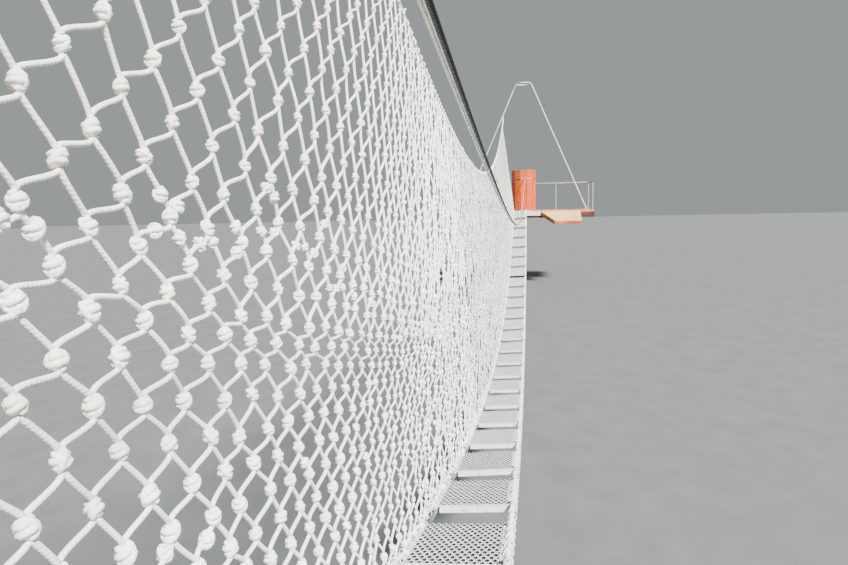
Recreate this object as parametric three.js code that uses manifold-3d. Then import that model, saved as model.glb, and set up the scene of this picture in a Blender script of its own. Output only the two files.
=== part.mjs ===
// A rope suspension footbridge slung between two trees: an upcurving deck of perforated
// steel treads on two cables, one tall knotted net wall, an overhead hand line and, at each
// end, a plank platform with sloping wings, a pipe guard rail and a slatted trunk guard.
// Millimetres, +X along the bridge, +Z up, origin on the slat face that bears on the near trunk.
import * as THREE from "three";
import { mergeVertices } from "three/addons/utils/BufferGeometryUtils.js";
import Module from "manifold-3d";

const wasm = await Module();
wasm.setup();

// Driving dimensions of the span
const SPAN = 18490;
const DECK_SAG = 1673;
const TREAD_COUNT = 26;
const TREAD_WIDTH = 380;
const TREAD_LENGTH = 520;
const TREAD_SHIFT = 85;
const TREAD_DEPTH = 30;
const TREAD_SHEET = 5;
const TREAD_BORDER = 42;
const TREAD_HOLES_ACROSS = 2;
const TREAD_HOLES_ALONG = 2;
const TREAD_WEB = 26;
const SEAT = 0.3;

// Ropes and cables
const CABLE_RADIUS = 8;
const CABLE_SPREAD = 165;
const EDGE_ROPE_RADIUS = 10;
const EDGE_ROPE_SPREAD = 172;
const ROPE_SIDES = 6;
const LEAD_OVERLAP = 12;
const HAND_LINE_RADIUS = 4.2;
const HAND_WIRE_RADIUS = 3.4;
const HAND_LINE_OFFSET = -135;
const HAND_WIRE_OFFSET = -125.8;
const HAND_LINE_END_HEIGHT = 932;
const HAND_LINE_SAG = 808;
const HAND_LINE_STEPS = 20;

// Net wall
const HEAD_NEAR_HEIGHT = 2680;
const HEAD_FAR_HEIGHT = 2450;
const HEAD_NEAR_SIDE = 415;
const HEAD_FAR_SIDE = 489;
const HEAD_SAG = 1751;
const NET_COLUMNS = 18;
const NET_ROWS = 3;
const NET_PANELS = 6;
const NET_BAR = 9;
const NET_BAR_SIDES = 3;
const NET_SELVAGE = 0.002;
const NET_TAIL = 420;
const NET_EYE_RADIUS = 95;
const NET_EYE_STEPS = 12;
const PANEL_CUT_WIDTH = 1500;
const PANEL_CUT_HEIGHT = 9000;

// Ends: trunk guard, platform, rail and stays
const TRUNK_SIDE = -100;
const TRUNK_SETBACK = 750;
const GUARD_SLATS = 12;
const GUARD_APOTHEM = 325;
const SLAT_WIDTH = 150;
const SLAT_THICKNESS = 25;
const SLAT_HEIGHT = 1210;
const SLING_HEIGHTS = [0, 932];
const SLING_SIZE = 16;
const SLING_BITE = 1;
const PLATFORM_GAP = 25;
const PLATFORM_LENGTH = 2 * (TRUNK_SETBACK - PLATFORM_GAP);
const PLATFORM_WIDTH = 4000;
const PLANK_THICKNESS = 45;
const BEAM_DEPTH = 150;
const BEAM_WIDTH = 70;
const WING_RUN = 550;
const WING_DROP = 245;
const WING_INNER_BACK = 480;
const WING_INNER_FRONT = 865;
const WING_OUTER = 1600;
const WING_JOIST_DEPTH = 90;
const WING_JOIST_RUN = 500;
const RAIL_HEIGHT = 800;
const RAIL_RADIUS = 24;
const RAIL_INSET = 60;
const RAIL_POST_PITCH = 970;
const PIPE_SIDES = 8;
const STAY_HEIGHT = 3700;
const STAY_RADIUS = 16;
const STAY_INSET = 180;
const STAY_RING_RADIUS = 215;
const STAY_RING_SIDES = 6;
const STAY_RING_STEPS = 16;
const EYE_BOLT_RADIUS = 14;
const EYE_BOLT_HEIGHT = 70;

const platformTop = -CABLE_RADIUS - SEAT;
const guardFoot = platformTop + SEAT;

// Finishes
const WHITE_ROPE = { color: 0xeceae4, roughness: 0.85, metalness: 0 };
const TREAD_PAINT = { color: 0xdcdcd8, roughness: 0.5, metalness: 0.3 };
const STEEL_WIRE = { color: 0xa9adb0, roughness: 0.4, metalness: 0.9 };
const BLACK_ROPE = { color: 0x15171b, roughness: 0.6, metalness: 0 };
const STAINED_BOARD = { color: 0xc4562a, roughness: 0.65, metalness: 0 };
const PLAIN_TIMBER = { color: 0xb98a5e, roughness: 0.75, metalness: 0 };
const PIPE_PAINT = { color: 0x9aa79a, roughness: 0.45, metalness: 0.4 };

function toSolid(geometry) {
  const bare = geometry.clone();
  bare.deleteAttribute("normal");
  bare.deleteAttribute("uv");
  const merged = mergeVertices(bare, 1e-3);
  return new wasm.Manifold(new wasm.Mesh({
    numProp: 3,
    vertProperties: new Float32Array(merged.attributes.position.array),
    triVerts: new Uint32Array(merged.index.array),
  }));
}

function toGeometry(solid) {
  const mesh = solid.getMesh();
  const geometry = new THREE.BufferGeometry();
  geometry.setAttribute("position", new THREE.BufferAttribute(new Float32Array(mesh.vertProperties), 3));
  geometry.setIndex(new THREE.BufferAttribute(new Uint32Array(mesh.triVerts), 1));
  geometry.computeVertexNormals();
  return geometry;
}

function fuse(geometries) {
  return geometries.map(toSolid).reduce((whole, piece) => whole.add(piece));
}

function box(sizeX, sizeY, sizeZ, x, y, z) {
  return new THREE.BoxGeometry(sizeX, sizeY, sizeZ).translate(x, y, z);
}

// A straight round bar between two points
function bar(start, end, radius, sides = PIPE_SIDES) {
  const direction = end.clone().sub(start);
  const geometry = new THREE.CylinderGeometry(radius, radius, direction.length(), sides);
  const turn = new THREE.Quaternion();
  turn.setFromUnitVectors(new THREE.Vector3(0, 1, 0), direction.clone().normalize());
  geometry.rotateY(Math.PI / sides);
  geometry.applyQuaternion(turn);
  const middle = start.clone().add(end).multiplyScalar(0.5);
  return geometry.translate(middle.x, middle.y, middle.z);
}

// A parabola between two points, hanging by its sag, set off square to its own line
class HangingCurve extends THREE.Curve {
  constructor(start, end, sag, offset = 0) {
    super();
    this.start = start;
    this.end = end;
    this.sag = sag;
    this.offset = offset;
  }
  getPoint(t, target = new THREE.Vector3()) {
    const run = this.end.x - this.start.x;
    const slope = (this.end.z - this.start.z - 4 * this.sag * (1 - 2 * t)) / run;
    const length = Math.hypot(1, slope);
    target.lerpVectors(this.start, this.end, t);
    target.z -= 4 * this.sag * t * (1 - t);
    target.x -= this.offset * slope / length;
    target.z += this.offset / length;
    return target;
  }
}

function roundSection(radius, sides) {
  const section = new THREE.Shape();
  const corner = radius / Math.cos(Math.PI / sides);
  for (let i = 0; i < sides; i += 1) {
    const angle = (2 * i + 1) * Math.PI / sides + Math.PI / 2;
    section[i === 0 ? "moveTo" : "lineTo"](corner * Math.cos(angle), corner * Math.sin(angle));
  }
  return section;
}

function ropeAlong(curve, radius, steps, sides = ROPE_SIDES) {
  const path = { extrudePath: curve, steps, bevelEnabled: false };
  return new THREE.ExtrudeGeometry(roundSection(radius, sides), path);
}

const bridge = new THREE.Group();

function addPiece(name, geometry, finish, parent = bridge) {
  const piece = new THREE.Mesh(geometry, new THREE.MeshStandardMaterial(finish));
  piece.name = name;
  parent.add(piece);
  return piece;
}

// Deck cables, set under the treads, each led level over the platform to the trunk guard
const guardOuter = GUARD_APOTHEM + SLAT_THICKNESS;
const slingOuter = guardOuter + SLING_SIZE;

function deckCurve(side, offset = 0) {
  const start = new THREE.Vector3(0, side, 0);
  return new HangingCurve(start, new THREE.Vector3(SPAN, side, 0), DECK_SAG, offset);
}

// A level rope stops on the sling round the slats: how far out that is from the span's end
function reachToSling(side, radius, tilt = 0) {
  const step = 2 * Math.PI / GUARD_SLATS;
  const across = Math.abs(side - TRUNK_SIDE);
  const angle = step * Math.round(Math.asin(across / slingOuter) / step);
  const faceX = (slingOuter - across * Math.sin(angle)) / Math.cos(angle);
  return TRUNK_SETBACK - faceX - SEAT - radius * (Math.tan(angle) + tilt);
}

function levelLead(side, radius, fromX, towardsX) {
  return bar(new THREE.Vector3(fromX, side, 0), new THREE.Vector3(towardsX, side, 0), radius, ROPE_SIDES);
}

function deckCable(side) {
  const reach = reachToSling(side, CABLE_RADIUS);
  return toGeometry(fuse([
    ropeAlong(deckCurve(side), CABLE_RADIUS, TREAD_COUNT),
    levelLead(side, CABLE_RADIUS, LEAD_OVERLAP, -reach),
    levelLead(side, CABLE_RADIUS, SPAN - LEAD_OVERLAP, SPAN + reach),
  ]));
}

addPiece("deck_cable_left", deckCable(CABLE_SPREAD), STEEL_WIRE);
addPiece("deck_cable_right", deckCable(-CABLE_SPREAD), STEEL_WIRE);

// Treads: a folded steel tray with a pierced top, one to each straight stretch of cable
function treadGeometry() {
  const innerLength = TREAD_LENGTH - 2 * TREAD_BORDER;
  const innerWidth = TREAD_WIDTH - 2 * TREAD_BORDER;
  const holeLength = (innerLength - (TREAD_HOLES_ALONG - 1) * TREAD_WEB) / TREAD_HOLES_ALONG;
  const holeWidth = (innerWidth - (TREAD_HOLES_ACROSS - 1) * TREAD_WEB) / TREAD_HOLES_ACROSS;
  let tray = toSolid(box(TREAD_LENGTH, TREAD_WIDTH, TREAD_DEPTH, 0, 0, TREAD_DEPTH / 2));
  const hollow = box(innerLength, innerWidth, TREAD_DEPTH, 0, 0, TREAD_DEPTH / 2 - TREAD_SHEET);
  tray = tray.subtract(toSolid(hollow));
  for (let i = 0; i < TREAD_HOLES_ALONG; i += 1) {
    for (let j = 0; j < TREAD_HOLES_ACROSS; j += 1) {
      const x = -innerLength / 2 + holeLength / 2 + i * (holeLength + TREAD_WEB);
      const y = -innerWidth / 2 + holeWidth / 2 + j * (holeWidth + TREAD_WEB);
      tray = tray.subtract(toSolid(box(holeLength, holeWidth, TREAD_DEPTH, x, y, TREAD_DEPTH)));
    }
  }
  return toGeometry(tray);
}

const treadShape = treadGeometry();
const deckPoints = deckCurve(0).getSpacedPoints(TREAD_COUNT);
for (let i = 0; i < TREAD_COUNT; i += 1) {
  const rise = deckPoints[i + 1].z - deckPoints[i].z;
  const run = deckPoints[i + 1].x - deckPoints[i].x;
  const bay = new THREE.Group();
  bay.position.copy(deckPoints[i]).add(deckPoints[i + 1]).multiplyScalar(0.5);
  bay.rotation.y = -Math.atan2(rise, run);
  const tread = addPiece(`tread_${String(i + 1).padStart(2, "0")}`, treadShape.clone(), TREAD_PAINT, bay);
  tread.position.set(TREAD_SHIFT, 0, CABLE_RADIUS + SEAT);
  bridge.add(bay);
}

// Ropes laid along the top of the treads; the left one is the foot rope of the net
const edgeRopeOffset = CABLE_RADIUS + SEAT + TREAD_DEPTH + SEAT + EDGE_ROPE_RADIUS;
const footCurve = deckCurve(EDGE_ROPE_SPREAD, edgeRopeOffset);
addPiece("net_foot_rope", ropeAlong(footCurve, EDGE_ROPE_RADIUS, TREAD_COUNT), WHITE_ROPE);
addPiece(
  "edge_rope_right",
  ropeAlong(deckCurve(-EDGE_ROPE_SPREAD, edgeRopeOffset), EDGE_ROPE_RADIUS, TREAD_COUNT),
  WHITE_ROPE,
);

// Head rope of the net, rising past the net to an eye that ties to the tree at each end
const headStart = new THREE.Vector3(0, HEAD_NEAR_SIDE, HEAD_NEAR_HEIGHT);
const headEnd = new THREE.Vector3(SPAN, HEAD_FAR_SIDE, HEAD_FAR_HEIGHT);
const headCurve = new HangingCurve(headStart, headEnd, HEAD_SAG);

function tiedEye(end, outward) {
  const fall = HEAD_FAR_HEIGHT - HEAD_NEAR_HEIGHT;
  const slope = (4 * HEAD_SAG + outward * fall) / SPAN;
  const lead = new THREE.Vector3(outward, 0, slope).normalize();
  const eyeCentre = end.clone().addScaledVector(lead, NET_TAIL + NET_EYE_RADIUS);
  const ring = new THREE.TorusGeometry(NET_EYE_RADIUS, EDGE_ROPE_RADIUS, ROPE_SIDES, NET_EYE_STEPS);
  ring.rotateX(Math.PI / 2);
  ring.translate(eyeCentre.x, eyeCentre.y, eyeCentre.z);
  const tailStart = end.clone().addScaledVector(lead, -LEAD_OVERLAP);
  const tailEnd = end.clone().addScaledVector(lead, NET_TAIL + EDGE_ROPE_RADIUS / 2);
  return [bar(tailStart, tailEnd, EDGE_ROPE_RADIUS, ROPE_SIDES), ring];
}

addPiece(
  "net_head_rope",
  toGeometry(fuse([
    ropeAlong(headCurve, EDGE_ROPE_RADIUS, TREAD_COUNT),
    ...tiedEye(headStart, -1),
    ...tiedEye(headEnd, 1),
  ])),
  WHITE_ROPE,
);

// Net wall: crossing strands from foot rope to head rope, cut clear of both ropes
const lastColumn = 2 * NET_COLUMNS;
const lastRow = 2 * NET_ROWS;

// A strand that climbs or drops through every row while it runs along the bridge
class NetStrand extends THREE.Curve {
  constructor(column, climbs) {
    super();
    this.column = column;
    this.climbs = climbs;
  }
  getPoint(t, target = new THREE.Vector3()) {
    const along = (this.column + t * lastRow) / lastColumn;
    const up = NET_SELVAGE + (1 - 2 * NET_SELVAGE) * (this.climbs ? t : 1 - t);
    return footCurve.getPoint(along, target).lerp(headCurve.getPoint(along), up);
  }
}

const footClearance = toSolid(ropeAlong(footCurve, EDGE_ROPE_RADIUS + SEAT, TREAD_COUNT));
const headClearance = toSolid(ropeAlong(headCurve, EDGE_ROPE_RADIUS + SEAT, TREAD_COUNT));
const columnsPerPanel = lastColumn / NET_PANELS;

function netPanel(index) {
  const first = index * columnsPerPanel;
  const last = first + columnsPerPanel;
  const strands = [];
  for (let column = first - lastRow + 2; column < last; column += 2) {
    for (const climbs of [true, false]) {
      strands.push(ropeAlong(new NetStrand(column, climbs), NET_BAR / 2, NET_ROWS, NET_BAR_SIDES));
    }
  }
  const startX = SPAN * first / lastColumn + SEAT / 2;
  const endX = SPAN * last / lastColumn - SEAT / 2;
  const middleX = (startX + endX) / 2;
  const bay = box(endX - startX, PANEL_CUT_WIDTH, PANEL_CUT_HEIGHT, middleX, EDGE_ROPE_SPREAD, 0);
  return fuse(strands).intersect(toSolid(bay)).subtract(footClearance).subtract(headClearance);
}

for (let index = 0; index < NET_PANELS; index += 1) {
  addPiece(`net_panel_${index + 1}`, toGeometry(netPanel(index)), WHITE_ROPE);
}

// Hand line and its steel wire, from the top sling of one trunk guard to that of the other
function handLine(side, radius) {
  const endSlope = 4 * HAND_LINE_SAG / SPAN;
  const reach = reachToSling(side, radius, endSlope / Math.cos(Math.PI / ROPE_SIDES));
  const start = new THREE.Vector3(-reach, side, HAND_LINE_END_HEIGHT);
  const end = new THREE.Vector3(SPAN + reach, side, HAND_LINE_END_HEIGHT);
  return ropeAlong(new HangingCurve(start, end, HAND_LINE_SAG), radius, HAND_LINE_STEPS);
}

addPiece("hand_line", handLine(HAND_LINE_OFFSET, HAND_LINE_RADIUS), BLACK_ROPE);
addPiece("hand_wire", handLine(HAND_WIRE_OFFSET, HAND_WIRE_RADIUS), STEEL_WIRE);

// Trunk guard: upright slats round the trunk, held by polygon slings of wire rope
function polygonShape(apothem, turn = 0) {
  const corner = apothem / Math.cos(Math.PI / GUARD_SLATS);
  const points = [];
  for (let i = 0; i < GUARD_SLATS; i += 1) {
    const angle = (2 * i + 1) * Math.PI / GUARD_SLATS + turn;
    points.push(new THREE.Vector2(corner * Math.cos(angle), corner * Math.sin(angle)));
  }
  return new THREE.Shape(points);
}

function trunkGuard() {
  const pieces = [];
  for (let i = 0; i < GUARD_SLATS; i += 1) {
    const faceX = GUARD_APOTHEM + SLAT_THICKNESS / 2;
    const slat = box(SLAT_THICKNESS, SLAT_WIDTH, SLAT_HEIGHT, faceX, 0, SLAT_HEIGHT / 2);
    pieces.push(slat.rotateZ(i * 2 * Math.PI / GUARD_SLATS));
  }
  for (const height of SLING_HEIGHTS) {
    const ring = polygonShape(slingOuter);
    ring.holes.push(new THREE.Path(polygonShape(guardOuter - SLING_BITE).getPoints()));
    const sling = new THREE.ExtrudeGeometry(ring, { depth: SLING_SIZE, bevelEnabled: false });
    pieces.push(sling.translate(0, 0, height - guardFoot - SLING_SIZE / 2));
  }
  return toGeometry(fuse(pieces));
}

// Platform: planks with a trunk hole on a ring of beams that grips the trunk
function plankDeck() {
  const halfLength = PLATFORM_LENGTH / 2;
  const halfWidth = PLATFORM_WIDTH / 2;
  const deck = toSolid(box(2 * halfLength, 2 * halfWidth, PLANK_THICKNESS, 0, 0, -PLANK_THICKNESS / 2));
  const cut = { depth: 4 * PLANK_THICKNESS, bevelEnabled: false };
  const hole = new THREE.ExtrudeGeometry(polygonShape(GUARD_APOTHEM), cut);
  return toGeometry(deck.subtract(toSolid(hole.translate(0, 0, -2 * PLANK_THICKNESS))));
}

function platformFrame() {
  const halfLength = PLATFORM_LENGTH / 2;
  const halfWidth = PLATFORM_WIDTH / 2;
  const z = -PLANK_THICKNESS - SEAT - BEAM_DEPTH / 2;
  const pieces = [];
  for (const side of [-1, 1]) {
    const gripX = side * (GUARD_APOTHEM + BEAM_WIDTH / 2);
    pieces.push(box(BEAM_WIDTH, 2 * halfWidth, BEAM_DEPTH, gripX, 0, z));
    pieces.push(box(BEAM_WIDTH, 2 * halfWidth, BEAM_DEPTH, side * (halfLength - BEAM_WIDTH / 2), 0, z));
    pieces.push(box(2 * halfLength, BEAM_WIDTH, BEAM_DEPTH, 0, side * (halfWidth - BEAM_WIDTH / 2), z));
    pieces.push(box(2 * halfLength, BEAM_WIDTH, BEAM_DEPTH, 0, side * (GUARD_APOTHEM + BEAM_WIDTH / 2), z));
  }
  return toGeometry(fuse(pieces));
}

// Wing: a plank slope on two joists, falling from the platform's edge beside the last treads
const platformEdge = PLATFORM_LENGTH / 2 + SEAT;

function slopedSlab(run, topZ, depth, fromY, toY) {
  const profile = new THREE.Shape();
  const fall = run * WING_DROP / WING_RUN;
  profile.moveTo(-platformEdge, topZ);
  profile.lineTo(-platformEdge - run, topZ - fall);
  profile.lineTo(-platformEdge - run, topZ - fall - depth);
  profile.lineTo(-platformEdge, topZ - depth);
  const slab = new THREE.ExtrudeGeometry(profile, { depth: Math.abs(toY - fromY), bevelEnabled: false });
  return slab.rotateX(Math.PI / 2).translate(0, Math.max(fromY, toY), 0);
}

function platformWing(side) {
  const innerBack = side * WING_INNER_BACK;
  const innerFront = side * WING_INNER_FRONT;
  const outer = side * WING_OUTER;
  const underside = -PLANK_THICKNESS + SEAT;
  const slab = toSolid(slopedSlab(WING_RUN, 0, PLANK_THICKNESS, innerBack, outer));
  const corner = new THREE.Shape([
    new THREE.Vector2(-platformEdge, innerBack),
    new THREE.Vector2(-platformEdge - WING_RUN - BEAM_WIDTH, innerBack - side * BEAM_WIDTH),
    new THREE.Vector2(-platformEdge - WING_RUN - BEAM_WIDTH, innerFront),
    new THREE.Vector2(-platformEdge - WING_RUN, innerFront),
  ]);
  const cut = new THREE.ExtrudeGeometry(corner, { depth: 4 * WING_DROP, bevelEnabled: false });
  const joists = [innerFront + side * BEAM_WIDTH, outer - 2 * side * BEAM_WIDTH].map((y) => (
    toSolid(slopedSlab(WING_JOIST_RUN, underside, WING_JOIST_DEPTH, y, y + side * BEAM_WIDTH))
  ));
  const planks = slab.subtract(toSolid(cut.translate(0, 0, -2 * WING_DROP)));
  return toGeometry(joists.reduce((whole, joist) => whole.add(joist), planks));
}

// Guard rail of pipe on the back and both sides of the platform
const railX = PLATFORM_LENGTH / 2 - RAIL_INSET;
const railY = 2 * RAIL_POST_PITCH;

function post(x, y) {
  const top = new THREE.Vector3(x, y, RAIL_HEIGHT + RAIL_RADIUS);
  return bar(new THREE.Vector3(x, y, SEAT), top, RAIL_RADIUS);
}

function topPipe(x0, y0, x1, y1) {
  const start = new THREE.Vector3(x0, y0, RAIL_HEIGHT);
  return bar(start, new THREE.Vector3(x1, y1, RAIL_HEIGHT), RAIL_RADIUS);
}

function backRail() {
  const pieces = [topPipe(railX, -railY, railX, railY)];
  for (let y = -railY; y <= railY; y += RAIL_POST_PITCH) pieces.push(post(railX, y));
  return toGeometry(fuse(pieces));
}

function sideRail(side) {
  const y = side * railY;
  const postFlat = RAIL_RADIUS * Math.cos(Math.PI / PIPE_SIDES);
  return toGeometry(fuse([post(-railX, y), topPipe(-railX, y, railX - postFlat - SEAT, y)]));
}

// Platform stays: wires from eye bolts in the planks up to a ring sling on the trunk
function platformStays() {
  const pieces = [];
  for (const side of [-1, 1]) {
    const footY = side * (PLATFORM_WIDTH / 2 - STAY_INSET);
    const boltTop = new THREE.Vector3(0, footY, EYE_BOLT_HEIGHT);
    pieces.push(bar(new THREE.Vector3(0, footY, SEAT), boltTop, EYE_BOLT_RADIUS));
    const wireFoot = new THREE.Vector3(0, footY, EYE_BOLT_HEIGHT - EYE_BOLT_RADIUS);
    pieces.push(bar(wireFoot, new THREE.Vector3(0, side * STAY_RING_RADIUS, STAY_HEIGHT), STAY_RADIUS));
  }
  const ring = new THREE.TorusGeometry(STAY_RING_RADIUS, STAY_RADIUS, STAY_RING_SIDES, STAY_RING_STEPS);
  pieces.push(ring.translate(0, 0, STAY_HEIGHT));
  return toGeometry(fuse(pieces));
}

// Each end is built towards +X of its own group, and the near one is turned round
function addEnd(label, x, turn) {
  const end = new THREE.Group();
  end.position.set(x, TRUNK_SIDE, 0);
  end.rotation.z = turn;
  const onPlatform = new THREE.Group();
  onPlatform.position.z = platformTop;
  end.add(onPlatform);
  const guard = addPiece(`trunk_guard_${label}`, trunkGuard(), STAINED_BOARD, onPlatform);
  guard.position.z = SEAT;
  addPiece(`platform_planks_${label}`, plankDeck(), STAINED_BOARD, onPlatform);
  addPiece(`platform_frame_${label}`, platformFrame(), PLAIN_TIMBER, onPlatform);
  addPiece(`platform_wing_a_${label}`, platformWing(-1), STAINED_BOARD, onPlatform);
  addPiece(`platform_wing_b_${label}`, platformWing(1), STAINED_BOARD, onPlatform);
  addPiece(`guard_rail_back_${label}`, backRail(), PIPE_PAINT, onPlatform);
  addPiece(`guard_rail_side_a_${label}`, sideRail(-1), PIPE_PAINT, onPlatform);
  addPiece(`guard_rail_side_b_${label}`, sideRail(1), PIPE_PAINT, onPlatform);
  addPiece(`platform_stays_${label}`, platformStays(), STEEL_WIRE, onPlatform);
  bridge.add(end);
}

addEnd("near", -TRUNK_SETBACK, Math.PI);
addEnd("far", SPAN + TRUNK_SETBACK, 0);

// The origin moves to the middle of the inner face of the near guard's front slat
const mountX = -TRUNK_SETBACK + GUARD_APOTHEM;
const mountZ = guardFoot + SLAT_HEIGHT / 2;
bridge.position.set(-mountX, -TRUNK_SIDE, -mountZ);

export default bridge;
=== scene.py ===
# %% [markdown]
# This lesson dresses a rope suspension footbridge: steel treads on two cables, a tall net of
# knotted white rope on the left, a hand line overhead, and a plank platform at each end. The packed
# model is loaded first, and it is the fixed frame. Every piece made here sits on it, in metres.

# %% Load the frame
import math

import bmesh
import bpy
import numpy as np
from mathutils import Matrix, Vector


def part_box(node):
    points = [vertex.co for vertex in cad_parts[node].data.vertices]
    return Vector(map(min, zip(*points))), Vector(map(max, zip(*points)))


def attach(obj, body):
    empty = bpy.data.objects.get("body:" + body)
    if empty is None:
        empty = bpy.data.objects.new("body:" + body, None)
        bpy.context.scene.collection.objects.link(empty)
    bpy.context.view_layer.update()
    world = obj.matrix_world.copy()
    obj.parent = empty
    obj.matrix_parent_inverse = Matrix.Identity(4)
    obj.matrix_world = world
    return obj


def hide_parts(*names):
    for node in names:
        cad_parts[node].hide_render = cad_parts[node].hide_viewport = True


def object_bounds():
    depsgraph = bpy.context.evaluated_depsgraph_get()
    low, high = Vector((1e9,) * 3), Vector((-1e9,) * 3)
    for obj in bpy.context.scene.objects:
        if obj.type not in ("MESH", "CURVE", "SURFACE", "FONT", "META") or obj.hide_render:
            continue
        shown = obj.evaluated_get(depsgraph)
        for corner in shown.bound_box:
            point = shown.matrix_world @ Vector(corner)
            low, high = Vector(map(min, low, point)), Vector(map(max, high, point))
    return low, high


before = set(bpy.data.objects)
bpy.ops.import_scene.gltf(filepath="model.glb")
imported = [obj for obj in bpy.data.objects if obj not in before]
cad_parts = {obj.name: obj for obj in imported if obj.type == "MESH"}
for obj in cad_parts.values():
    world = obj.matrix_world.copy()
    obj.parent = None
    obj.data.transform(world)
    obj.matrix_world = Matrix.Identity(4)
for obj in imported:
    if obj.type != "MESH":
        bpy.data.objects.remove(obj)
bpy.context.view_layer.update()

rng = np.random.default_rng(7)

# %% [markdown]
# The driving sizes repeat those of the frame, so that each detailed piece lands where its plain
# one stands. SEAT is the small gap that the frame leaves between parts that bear on each other.

# %% Driving sizes in metres
SPAN = 18.49
DECK_SAG = 1.673
TREADS = 26
TREAD_DEPTH = 0.030
CABLE_RADIUS = 0.008
EDGE_ROPE_RADIUS = 0.010
EDGE_ROPE_SPREAD = 0.172
SEAT = 0.0003
HEAD_NEAR_HEIGHT = 2.680
HEAD_FAR_HEIGHT = 2.450
HEAD_NEAR_SIDE = 0.415
HEAD_FAR_SIDE = 0.489
HEAD_SAG = 1.751
DECK_START = np.array([0.425, 0.100, -0.597])
TREAD_TOP = CABLE_RADIUS + SEAT + TREAD_DEPTH
ROPE_LIFT = TREAD_TOP + SEAT + EDGE_ROPE_RADIUS
print("clear height of the net at the near end", HEAD_NEAR_HEIGHT)

# %% [markdown]
# The deck, the head rope of the net and the hand line could be drawn by hand as curves. But each
# hangs in a parabola, the line of a light cable whose load is spread evenly, so a formula gives
# the same line to every piece that follows it. Shares of the span run from 0 at the near end to
# 1 at the far one. The treads stand at even steps of the cable's own length.

# %% Curves of the bridge
def hang(t, side, height, sag, lift=0.0, reach=0.0):
    """Points of a parabola over the span at the shares t, lifted square to its own line."""
    t = np.asarray(t, dtype=float)
    run = SPAN + 2 * reach
    slope = -4 * sag * (1 - 2 * t) / run
    length = np.hypot(1, slope)
    x = -reach + run * t - lift * slope / length
    z = height - 4 * sag * t * (1 - t) + lift / length
    y = np.zeros_like(t) + side
    return np.stack([x, y, z], axis=-1) + DECK_START


def evenly(curve, count):
    """Points of a curve at even steps of its own length."""
    t = np.linspace(0, 1, 4001)
    steps = np.linalg.norm(np.diff(curve(t), axis=0), axis=1)
    length = np.concatenate([[0], np.cumsum(steps)])
    return curve(np.interp(np.linspace(0, length[-1], count + 1), length, t))


def deck_line(t):
    return hang(t, 0, 0, DECK_SAG)


def foot_line(t):
    return hang(t, EDGE_ROPE_SPREAD, 0, DECK_SAG, ROPE_LIFT)


def head_line(t):
    """The head rope ends lower and further out at the far end than at the near one."""
    t = np.asarray(t, dtype=float)
    y = HEAD_NEAR_SIDE + (HEAD_FAR_SIDE - HEAD_NEAR_SIDE) * t
    z = HEAD_NEAR_HEIGHT + (HEAD_FAR_HEIGHT - HEAD_NEAR_HEIGHT) * t - 4 * HEAD_SAG * t * (1 - t)
    return np.stack([SPAN * t, y, z], axis=-1) + DECK_START


deck_points = evenly(deck_line, TREADS)
print("tread pitch", round(float(np.linalg.norm(deck_points[1] - deck_points[0])), 4))

# %% [markdown]
# Colours are written as sRGB hex and turned to the linear values that the shader works in. One
# small function adds any node, with its settings, values, links and colour stops. Each material
# ends alike: a ramp turns one pattern to colour, and a bump turns another to relief. A noise scale
# counts features per metre here, so 1000 divided by it is their size in millimetres.


def linear(hex_code):
    """An sRGB hex colour as linear RGBA."""
    values = [int(hex_code[i:i + 2], 16) / 255 for i in (0, 2, 4)]
    return [v / 12.92 if v <= 0.04045 else ((v + 0.055) / 1.055) ** 2.4 for v in values] + [1.0]


def add_node(tree, kind, settings=(), values=(), links=(), stops=()):
    """Adds a node with its properties, input values, links from other sockets and colour stops."""
    node = tree.nodes.new(kind)
    for name, value in dict(settings).items():
        setattr(node, name, value)
    for name, value in dict(values).items():
        node.inputs[name].default_value = value
    for name, socket in dict(links).items():
        tree.links.new(socket, node.inputs[name])
    if stops:
        elements = node.color_ramp.elements
        elements[0].position, elements[1].position = stops[0][0], stops[-1][0]
        for position, _ in stops[1:-1]:
            elements.new(position)
        for element, (_, code) in zip(elements, stops):
            element.color = linear(code)
    return node


def new_material(name, roughness, metallic=0.0, sheen=0.0, specular=0.5):
    """A material with its shader set, its nodes, and the coordinates that patterns start from."""
    material = bpy.data.materials.new(name)
    material.use_nodes = True
    tree = material.node_tree
    for socket, value in (("Roughness", roughness), ("Metallic", metallic),
                          ("Sheen Weight", sheen), ("Specular IOR Level", specular)):
        tree.nodes["Principled BSDF"].inputs[socket].default_value = value
    return material, tree, add_node(tree, "ShaderNodeTexCoord").outputs


def finish_material(tree, pattern, stops, height, relief, depth_mm):
    """Colours the shader from a pattern through a ramp, and gives it relief from a height."""
    shader = tree.nodes["Principled BSDF"]
    colour = add_node(tree, "ShaderNodeValToRGB", links={"Fac": pattern}, stops=stops)
    bump = add_node(tree, "ShaderNodeBump", links={"Height": height},
                    values={"Strength": relief, "Distance": depth_mm / 1000})
    tree.links.new(colour.outputs["Color"], shader.inputs["Base Color"])
    tree.links.new(bump.outputs["Normal"], shader.inputs["Normal"])


print("full white in linear light", linear("ffffff"))

# %% [markdown]
# The net is braided polyester rope about 9 mm thick. Polyester yarn is bright but dull, so it is
# rough with a faint sheen, and a little grey in blotches of dirt about 110 mm wide. The strands of
# the braid, 3 to 6 mm apart, could be modelled, but a wave in the relief is far lighter. The UV
# map holds metres along the rope and turns round it, so the wave runs slanted round the rope. The
# fibres are too fine to show, so they are drawn as coarse as 2.4 mm. The hand line's black sheath
# is woven tighter, so it is smoother and less dirty.

# %% Rope materials
DIRT_PER_METRE = 9.0
FIBRES_PER_METRE = 420.0


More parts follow.
